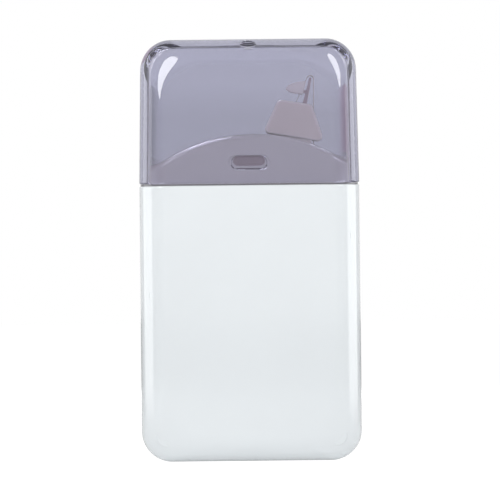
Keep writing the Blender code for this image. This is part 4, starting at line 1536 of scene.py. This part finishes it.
@dataclass
class Applicator:
    """The head with its flanges, the blade, and the tape that runs over it."""

    shop: Workshop
    layout: Layout
    case: Case
    offset: float = 7.36 * MM
    lift: float = 0.15 * MM
    tilt: float = math.radians(-9.5)
    flange_bottom: float = 10.25 * MM
    flange_top: float = 5.6 * MM
    flange_height: float = 5.8 * MM
    flange_skew: float = -0.7 * MM
    flange_corner: float = 0.8 * MM
    flange_bevel: float = 0.4 * MM
    # Painted highlight: the flange bevels are made paler.
    painted_bevel_highlight: Colour = (1.08, 1.10, 1.13)
    flange_thickness: float = 0.7 * MM
    core_height: float = 3.6 * MM
    tang_rise: float = 0.8 * MM
    root_right: float = 0.85 * MM
    root_left: float = 1.7 * MM
    peg_thickness: float = 0.7 * MM
    peg_length: float = 2.0 * MM
    peg_width: float = 2.4 * MM
    ear_thickness: float = 0.5 * MM
    ear_outline: tuple[Point, ...] = (
        (0.7 * MM, 0.4 * MM),
        (2.4 * MM, 0.55 * MM),
        (3.6 * MM, 1.05 * MM),
        (4.05 * MM, 1.7 * MM),
        (3.2 * MM, 2.25 * MM),
        (1.2 * MM, 2.55 * MM),
    )
    bar_across: Point = (0.6 * MM, 1.8 * MM)
    bar_down: Point = (1.85 * MM, 2.35 * MM)
    # Painted shade on the blade's cut sides between the ears.
    painted_blade_shade: Colour = (0.60, 0.52, 0.57)
    side_facing: float = 0.9
    edge: float = 0.08 * MM
    overlap: float = 0.05 * MM
    bevel_steps: int = 4
    nose_steps: int = 12
    wrap_steps: int = 16

    def __post_init__(self) -> None:
        """Works out the head's base and the tape's direction."""
        base = self.case.dome(self.offset) + self.lift
        self.base = Vector((self.offset, base))
        self.flange_inner = self.layout.tape_edge + self.case.fit
        start, end = self.layout.feed_run
        self.up = (end - start).normalized()
        self.left = Vector((-self.up.y, self.up.x))
        self.blade = self.layout.tip.y - self.head_point(0.0, self.core_height).y - self.case.fit

    def build(self) -> None:
        """Makes the head, the blade and both strands."""
        finishes = self.shop.finishes
        place(self.head(), finishes.head, Body.CASE, "head_natural", "applicator_head")
        place(self.tip(), finishes.tip, Body.CASE, "tip_white", "applicator_tip")
        place(self.feed_strand(), finishes.coat, Body.CASE, "tape_coat", "tape_feed_strand")
        place(self.return_strand(), finishes.film, Body.CASE, "carrier_film", "tape_return_strand")

    def head_point(self, across: float, up: float) -> Vector:
        """Returns a point in the head's tilted frame."""
        cos, sin = math.cos(self.tilt), math.sin(self.tilt)
        return self.base + Vector((across * cos - up * sin, across * sin + up * cos))

    def blade_point(self, across: float, down: float) -> Vector:
        """Returns a point beside the tip: across to the left of the tape, down along it."""
        return self.layout.tip + self.left * across - self.up * down

    def head(self) -> bpy.types.Object:
        """Makes the wedge with its two flanges, pin holes and the blade's slot.

        Returns:
            The head.
        """
        foot = self.case.shoulder + self.tang_rise
        top = self.head_point(0.0, self.core_height).y
        feed, back, gap = self.layout.feed_run, self.layout.return_run, self.layout.standoff
        wedge = [
            Vector((along_run(back, foot) + gap, foot)),
            Vector((along_run(feed, foot) - gap, foot)),
            Vector((along_run(feed, top) - gap, top)),
            Vector((along_run(back, top) + gap, top)),
        ]
        middle = self.flange_inner + self.flange_thickness / 2
        head = prism("applicator_wedge", wedge, -middle, middle)
        shape(head, Boolean.JOIN, *(self.flange(side) for side in Side))
        fit, half = self.case.fit, self.case.half_depth
        holes = self.case.posts("holes", self.case.head_pins(), self.case.head_pin + fit, -half, half)
        slot = self.peg("slot", fit, self.blade - fit, self.blade + self.peg_length + fit)
        shape(head, Boolean.CUT, holes, slot)
        # Painted highlight on the flange bevels.
        paint_shade_on_faces(head, self.painted_bevel_light)
        return head

    def painted_bevel_light(self, face: bpy.types.MeshPolygon) -> Colour:
        """Gives a face of the head its painted highlight: pale on the bevels of its flanges.

        Args:
            face: A face of the head.

        Returns:
            Its shade.
        """
        outer = self.flange_inner + self.flange_thickness
        on_bevel = outer - self.flange_bevel < abs(face.center.y) < outer - MERGE
        return self.painted_bevel_highlight if on_bevel else WHITE

    def flange(self, side: Side) -> bpy.types.Object:
        """Makes one bevelled side plate.

        Args:
            side: Which side.

        Returns:
            The closed plate.
        """
        half_bottom, half_top = self.flange_bottom / 2, self.flange_top / 2
        corners = [
            self.head_point(-half_bottom, 0.0),
            self.head_point(half_bottom, 0.0),
            self.head_point(self.flange_skew + half_top, self.flange_height),
            self.head_point(self.flange_skew - half_top, self.flange_height),
        ]
        outer = self.flange_inner + self.flange_thickness
        outline = rounded(corners, self.flange_corner)
        plate = prism(f"flange_{side.name}", outline, side.value * self.flange_inner, side.value * outer)
        return soften(plate, self.flange_bevel, self.bevel_steps)

    def peg(self, name: str, margin: float, start: float, end: float) -> bpy.types.Object:
        """Makes the blade's peg or the slot for it.

        Args:
            name: Name of the shape.
            margin: How far it is grown all round.
            start: How far below the tip it begins.
            end: How far below the tip it ends.

        Returns:
            The closed shape.
        """
        middle = (self.root_left + self.root_right) / 2
        across = self.peg_thickness / 2 + margin
        corners = ((-across, start), (across, start), (across, end), (-across, end))
        outline = [self.blade_point(middle + i, down) for i, down in corners]
        half = self.peg_width / 2 + margin
        return prism(name, outline, -half, half)

    def tip(self) -> bpy.types.Object:
        """Makes the blade with its rounded nose, side ears and peg.

        Returns:
            The blade.
        """
        turn = math.atan2(-self.up.x, self.up.y)
        nose = arc(self.layout.tip, self.layout.tip_radius, turn, turn + math.pi, self.nose_steps)
        root = [self.blade_point(across, self.blade) for across in (self.root_left, self.root_right)]
        tip = prism("applicator_blade", [*nose, *root], -self.layout.tape_edge, self.layout.tape_edge)
        (near, far), (top, foot) = self.bar_across, self.bar_down
        corners = ((near, top), (far, top), (far, foot), (near, foot))
        bar = [self.blade_point(*corner) for corner in corners]
        middle = self.flange_inner + self.ear_thickness / 2
        ears = [self.ear(side) for side in Side]
        peg = self.peg("peg", 0.0, self.blade - self.peg_length / 2, self.blade + self.peg_length)
        shape(tip, Boolean.JOIN, prism("ear_bar", bar, -middle, middle), *ears, peg)
        # Painted shade on the blade's cut sides.
        paint_shade_on_faces(tip, self.painted_face_shade)
        return tip

    def painted_face_shade(self, face: bpy.types.MeshPolygon) -> Colour:
        """Returns the painted shade of a face of the blade: dark at the cut sides between the ears."""
        between = abs(face.center.y) < self.flange_inner + self.ear_thickness - MERGE
        return self.painted_blade_shade if between and abs(face.normal.y) > self.side_facing else WHITE

    def ear(self, side: Side) -> bpy.types.Object:
        """Makes one thin ear beside the blade.

        Args:
            side: Which side.

        Returns:
            The closed ear.
        """
        outline = [self.blade_point(across, down) for across, down in self.ear_outline]
        outer = self.flange_inner + self.ear_thickness
        plate = prism(f"ear_{side.name}", outline, side.value * self.flange_inner, side.value * outer)
        return soften(plate, self.edge)

    def ribbon(self, name: str, line: Sequence[Vector]) -> bpy.types.Object:
        """Makes a strand of tape that follows a line.

        Args:
            name: Name of the strand.
            line: Points of the front view.

        Returns:
            The closed strand.
        """
        left: list[Vector] = []
        right: list[Vector] = []
        for i, point in enumerate(line):
            ahead = (line[min(i + 1, len(line) - 1)] - line[max(i - 1, 0)]).normalized()
            across = Vector((-ahead.y, ahead.x)) * self.layout.strand_thickness / 2
            left.append(point + across)
            right.append(point - across)
        return prism(name, left + right[::-1], -self.layout.tape_edge, self.layout.tape_edge)

    def feed_strand(self) -> bpy.types.Object:
        """Makes the fresh tape up to and over the tip.

        Returns:
            The strand.
        """
        start, end = self.layout.feed_run
        right = end - self.layout.tip
        left = self.layout.return_run[0] - self.layout.tip
        first = math.atan2(right.y, right.x)
        last = math.atan2(left.y, left.x) % math.tau - self.overlap / self.layout.wrap
        over = arc(self.layout.tip, self.layout.wrap, first, last, self.wrap_steps)
        return self.ribbon("fresh_tape_run", [start, *over])

    def return_strand(self) -> bpy.types.Object:
        """Returns the bare film from the tip to the take-up spool."""
        start, end = self.layout.return_run
        return self.ribbon("bare_film_run", [start, end])


@dataclass
class Spools:
    """Gears, cores, discs and rolls inside the case."""

    shop: Workshop
    layout: Layout
    take_up_core: float = 4.5 * MM
    core_gap: float = 0.02 * MM
    supply_turns: int = 70
    take_up_turns: int = 36
    layer_share: float = 0.8

    def build(self) -> None:
        """Winds the rolls and dresses the pieces that keep their shape."""
        finishes = self.shop.finishes
        layout = self.layout
        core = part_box("supply_core")[1].x - layout.supply_axis.x
        supply = layout.supply_axis, core, layout.supply_roll, self.supply_turns
        fresh = self.roll("fresh_tape_roll", finishes.coat, *supply)
        place(fresh, finishes.coat, Body.SUPPLY_SPOOL, "tape_coat", "tape_supply_roll")
        take_up = layout.take_up_axis, self.take_up_core, layout.take_up_roll, self.take_up_turns
        bare = self.roll("bare_film_roll", finishes.film, *take_up)
        place(bare, finishes.film, Body.TAKE_UP, "carrier_film", "tape_take_up_roll")
        keeps = {
            "supply_gear": finishes.gear,
            "take_up_reel": finishes.gear,
            "supply_core": finishes.core,
            "supply_retainer": finishes.core,
            "take_up_flange": finishes.core,
            "rear_guide_disc": finishes.guide,
            "front_guide_disc": finishes.guide,
            "clutch_ring": finishes.rubber,
        }
        for node, finish in keeps.items():
            redress(node, finish)

    def roll(
        self, name: str, finish: bpy.types.Material, axis: Vector, core: float, radius: float, turns: int
    ) -> bpy.types.Object:
        """Winds tape on a core.

        Args:
            name: Name of the roll.
            finish: Its material.
            axis: Its axis in the front view.
            core: Radius of the core.
            radius: Radius of the full roll.
            turns: Layers from the core to the outside.

        Returns:
            The roll.
        """
        start = core + self.core_gap
        step = (radius - start) / (turns + 1)
        mesh = self.shop.rules.winding.mesh(
            name,
            finish,
            [Vector((axis.x, 0.0, axis.y))],
            start=start + step / 2,
            end=radius - step / 2,
            turns=float(turns),
            thickness=step * self.layer_share,
            width=2 * self.layout.tape_edge,
        )
        return blank(name, mesh)


@dataclass(frozen=True)
class Softbox:
    """A flat lamp that faces the object.

    Azimuth is to the right of the camera and elevation is up, both in degrees from the object. Rays
    are the kinds of ray that see it: one that only transmission rays see shines inside the cap alone.
    """

    name: str
    azimuth: float
    elevation: float
    distance: float
    width: float
    height: float
    watts: float
    outline: LampShape = LampShape.OVAL
    rays: tuple[Ray, ...] = (Ray.DIFFUSE, Ray.GLOSSY, Ray.TRANSMISSION)

    def build(self, target: Vector) -> None:
        """Puts the lamp in place.

        Args:
            target: What it faces.
        """
        lamp = bpy.data.lights.new(self.name, "AREA")
        lamp.shape = self.outline.value
        lamp.size, lamp.size_y = self.width, self.height
        lamp.energy = self.watts
        obj = bpy.data.objects.new(self.name, lamp)
        turn, rise = math.radians(self.azimuth), math.radians(self.elevation)
        way = Vector((math.sin(turn) * math.cos(rise), -math.cos(turn) * math.cos(rise), math.sin(rise)))
        obj.location = target + way * self.distance
        obj.rotation_euler = way.to_track_quat("Z", "Y").to_euler()
        obj.visible_diffuse = Ray.DIFFUSE in self.rays
        obj.visible_glossy = Ray.GLOSSY in self.rays
        obj.visible_transmission = Ray.TRANSMISSION in self.rays
        bpy.context.scene.collection.objects.link(obj)
        LOG.info("lamp %s at %.0f, %.0f degrees", self.name, self.azimuth, self.elevation)


@dataclass
class Studio:
    """Camera, lamps, floor and white surroundings."""

    image_size: int = 500
    pixels_per_metre: float = 6100.0
    lean: float = math.radians(-0.62)
    camera_distance: float = 1.6
    sensor: float = 36.0
    lit_drop: float = 7.0 * MM
    bounces: int = 24
    floor_size: float = 6.0
    floor_colour: Colour = (0.88, 0.88, 0.88)
    floor_shade: float = 0.12
    floor_glow: float = 1.14
    floor_bounce: float = 0.18
    floor_mirror: float = 0.2
    world_fill: float = 0.06
    side_shade: float = 0.80
    wall_shade: float = 0.70
    rose: Colour = (1.08, 0.88, 0.96)
    rose_start: float = 0.12
    rose_full: float = 0.25
    backdrop_core: float = math.cos(math.radians(7.0))
    backdrop_edge: float = math.cos(math.radians(14.0))
    softboxes: tuple[Softbox, ...] = (
        Softbox("left_softbox", -22.0, 19.0, 0.8, 0.22, 0.46, 2.25),
        Softbox("right_softbox", 31.3, 23.5, 0.8, 0.155, 0.46, 1.5),
        Softbox("top_fill", 0.0, 60.0, 0.15, 0.12, 0.12, 0.055, rays=(Ray.DIFFUSE,)),
        Softbox("left_edge", -90.0, 66.0, 0.3, 0.25, 0.195, 2.4, rays=(Ray.TRANSMISSION,)),
        Softbox("right_edge", 90.0, 60.0, 0.3, 0.2, 0.06, 1.1, rays=(Ray.TRANSMISSION,)),
        Softbox("left_panel", -85.0, 12.0, 0.6, 0.6, 0.6, 1.75, LampShape.SQUARE),
        Softbox("right_panel", 85.0, 12.0, 0.6, 0.6, 0.6, 1.9, LampShape.SQUARE),
        Softbox("rear_fill", 180.0, 15.0, 0.8, 0.5, 0.5, 2.2, LampShape.SQUARE, rays=(Ray.DIFFUSE,)),
    )

    def build(self) -> None:
        """Sets the whole scene."""
        scene = bpy.context.scene
        scene.view_settings.view_transform = "Standard"
        scene.cycles.max_bounces = self.bounces
        scene.cycles.glossy_bounces = self.bounces
        scene.cycles.transmission_bounces = self.bounces
        low, high = (Vector(corner) for corner in CAD_BOX)
        self.target = (low + high) / 2
        self.add_camera()
        lit = Vector((0.0, low.y, high.z - self.lit_drop))
        for softbox in self.softboxes:
            softbox.build(lit)
        self.add_world()
        self.add_floor()

    def add_camera(self) -> None:
        """Looks straight at the front, rolled by the photograph's lean."""
        data = bpy.data.cameras.new("camera")
        data.sensor_width = self.sensor
        field_width = self.image_size / self.pixels_per_metre
        data.lens = self.sensor * self.camera_distance / field_width
        camera = bpy.data.objects.new("camera", data)
        camera.location = self.target - Vector((0.0, self.camera_distance, 0.0))
        camera.rotation_mode = "XYZ"
        roll = Euler((0.0, 0.0, self.lean)).to_matrix()
        camera.rotation_euler = (ON_Y.to_matrix() @ roll).to_euler()
        bpy.context.scene.collection.objects.link(camera)
        bpy.context.scene.camera = camera

    def seen_white(self, graph: Graph) -> Term:
        """Tells which rays look at the surroundings, straight or through or off the object.

        Args:
            graph: The nodes that it is added to.

        Returns:
            1 for such rays, else 0.
        """
        path = graph.add("ShaderNodeLightPath")
        kinds = (Ray.CAMERA, Ray.GLOSSY, Ray.TRANSMISSION)
        camera, glossy, through = (Term(graph, path.outputs[ray.value]) for ray in kinds)
        return (camera + glossy + through).clamped(0.0, 1.0)

    def add_world(self) -> None:
        """Makes surroundings that look white and light the object softly."""
        world = bpy.data.worlds.new("white_room")
        world.use_nodes = True
        world.node_tree.nodes.clear()
        graph = Graph(world.node_tree)
        fill = graph.add("ShaderNodeBackground", {"Color": (*WHITE, 1.0), "Strength": self.world_fill})
        path = graph.add("ShaderNodeLightPath")
        direction = graph.add("ShaderNodeTexCoord").outputs["Generated"]
        way = graph.add("ShaderNodeSeparateXYZ", {0: direction})
        ahead = graph.math("ABSOLUTE", Term(graph, way.outputs[1]))
        blend = self.backdrop_core - self.backdrop_edge
        backdrop = ((ahead - self.backdrop_edge) / blend).clamped(0.0, 1.0)
        inside = Term(graph, path.outputs[Ray.TRANSMISSION.value])
        sides = graph.pick(inside, self.wall_shade, self.side_shade)
        shade = backdrop * (1.0 - sides) + sides
        strength = graph.math("MAXIMUM", shade, Term(graph, path.outputs[Ray.CAMERA.value]))
        across = Term(graph, way.outputs[0]) * -1.0
        left = ((across - self.rose_start) / (self.rose_full - self.rose_start)).clamped(0.0, 1.0)
        tint = {0: left * inside, 6: (*WHITE, 1.0), 7: (*self.rose, 1.0)}
        colour = graph.add("ShaderNodeMix", tint, data_type="RGBA").outputs[2]
        white = graph.add("ShaderNodeBackground", {"Color": colour, "Strength": strength})
        mix = {0: self.seen_white(graph), 1: fill.outputs[0], 2: white.outputs[0]}
        graph.add("ShaderNodeOutputWorld", {"Surface": graph.add("ShaderNodeMixShader", mix).outputs[0]})
        bpy.context.scene.world = world

    def add_floor(self) -> None:
        """Lays a pale floor that looks white and keeps a faint shadow."""
        mesh = bpy.data.meshes.new("floor")
        half = self.floor_size / 2
        corners = [(-half, -half, 0.0), (half, -half, 0.0), (half, half, 0.0), (-half, half, 0.0)]
        mesh.from_pydata(corners, [], [(0, 1, 2, 3)])
        material = bpy.data.materials.new("pale_floor")
        material.use_nodes = True
        material.node_tree.nodes.clear()
        graph = Graph(material.node_tree)
        matt = graph.add("ShaderNodeBsdfDiffuse", {"Color": (*self.floor_colour, 1.0)})
        white = graph.add("ShaderNodeEmission", {"Color": (*WHITE, 1.0), "Strength": self.floor_glow})
        path = graph.add("ShaderNodeLightPath")
        glossy, through = (Term(graph, path.outputs[ray.value]) for ray in (Ray.GLOSSY, Ray.TRANSMISSION))
        mirrored = glossy * (1.0 - through)
        seen = graph.pick(mirrored, self.floor_mirror, 1.0 - self.floor_shade)
        share = graph.pick(self.seen_white(graph), seen, self.floor_bounce)
        mix = graph.add("ShaderNodeMixShader", {0: share, 1: matt.outputs[0], 2: white.outputs[0]})
        graph.add("ShaderNodeOutputMaterial", {"Surface": mix.outputs[0]})
        mesh.materials.append(material)
        floor = bpy.data.objects.new("floor", mesh)
        bpy.context.scene.collection.objects.link(floor)


def main() -> None:
    """Builds the object and the scene round it."""
    logging.basicConfig(level=logging.INFO, format="%(name)s: %(message)s")
    shop = Workshop()
    layout = Layout()
    case = Case(shop, layout)
    case.build()
    Cap(shop, case).build()
    Applicator(shop, layout, case).build()
    Spools(shop, layout).build()
    Studio().build()


if __name__ == "__main__":
    main()
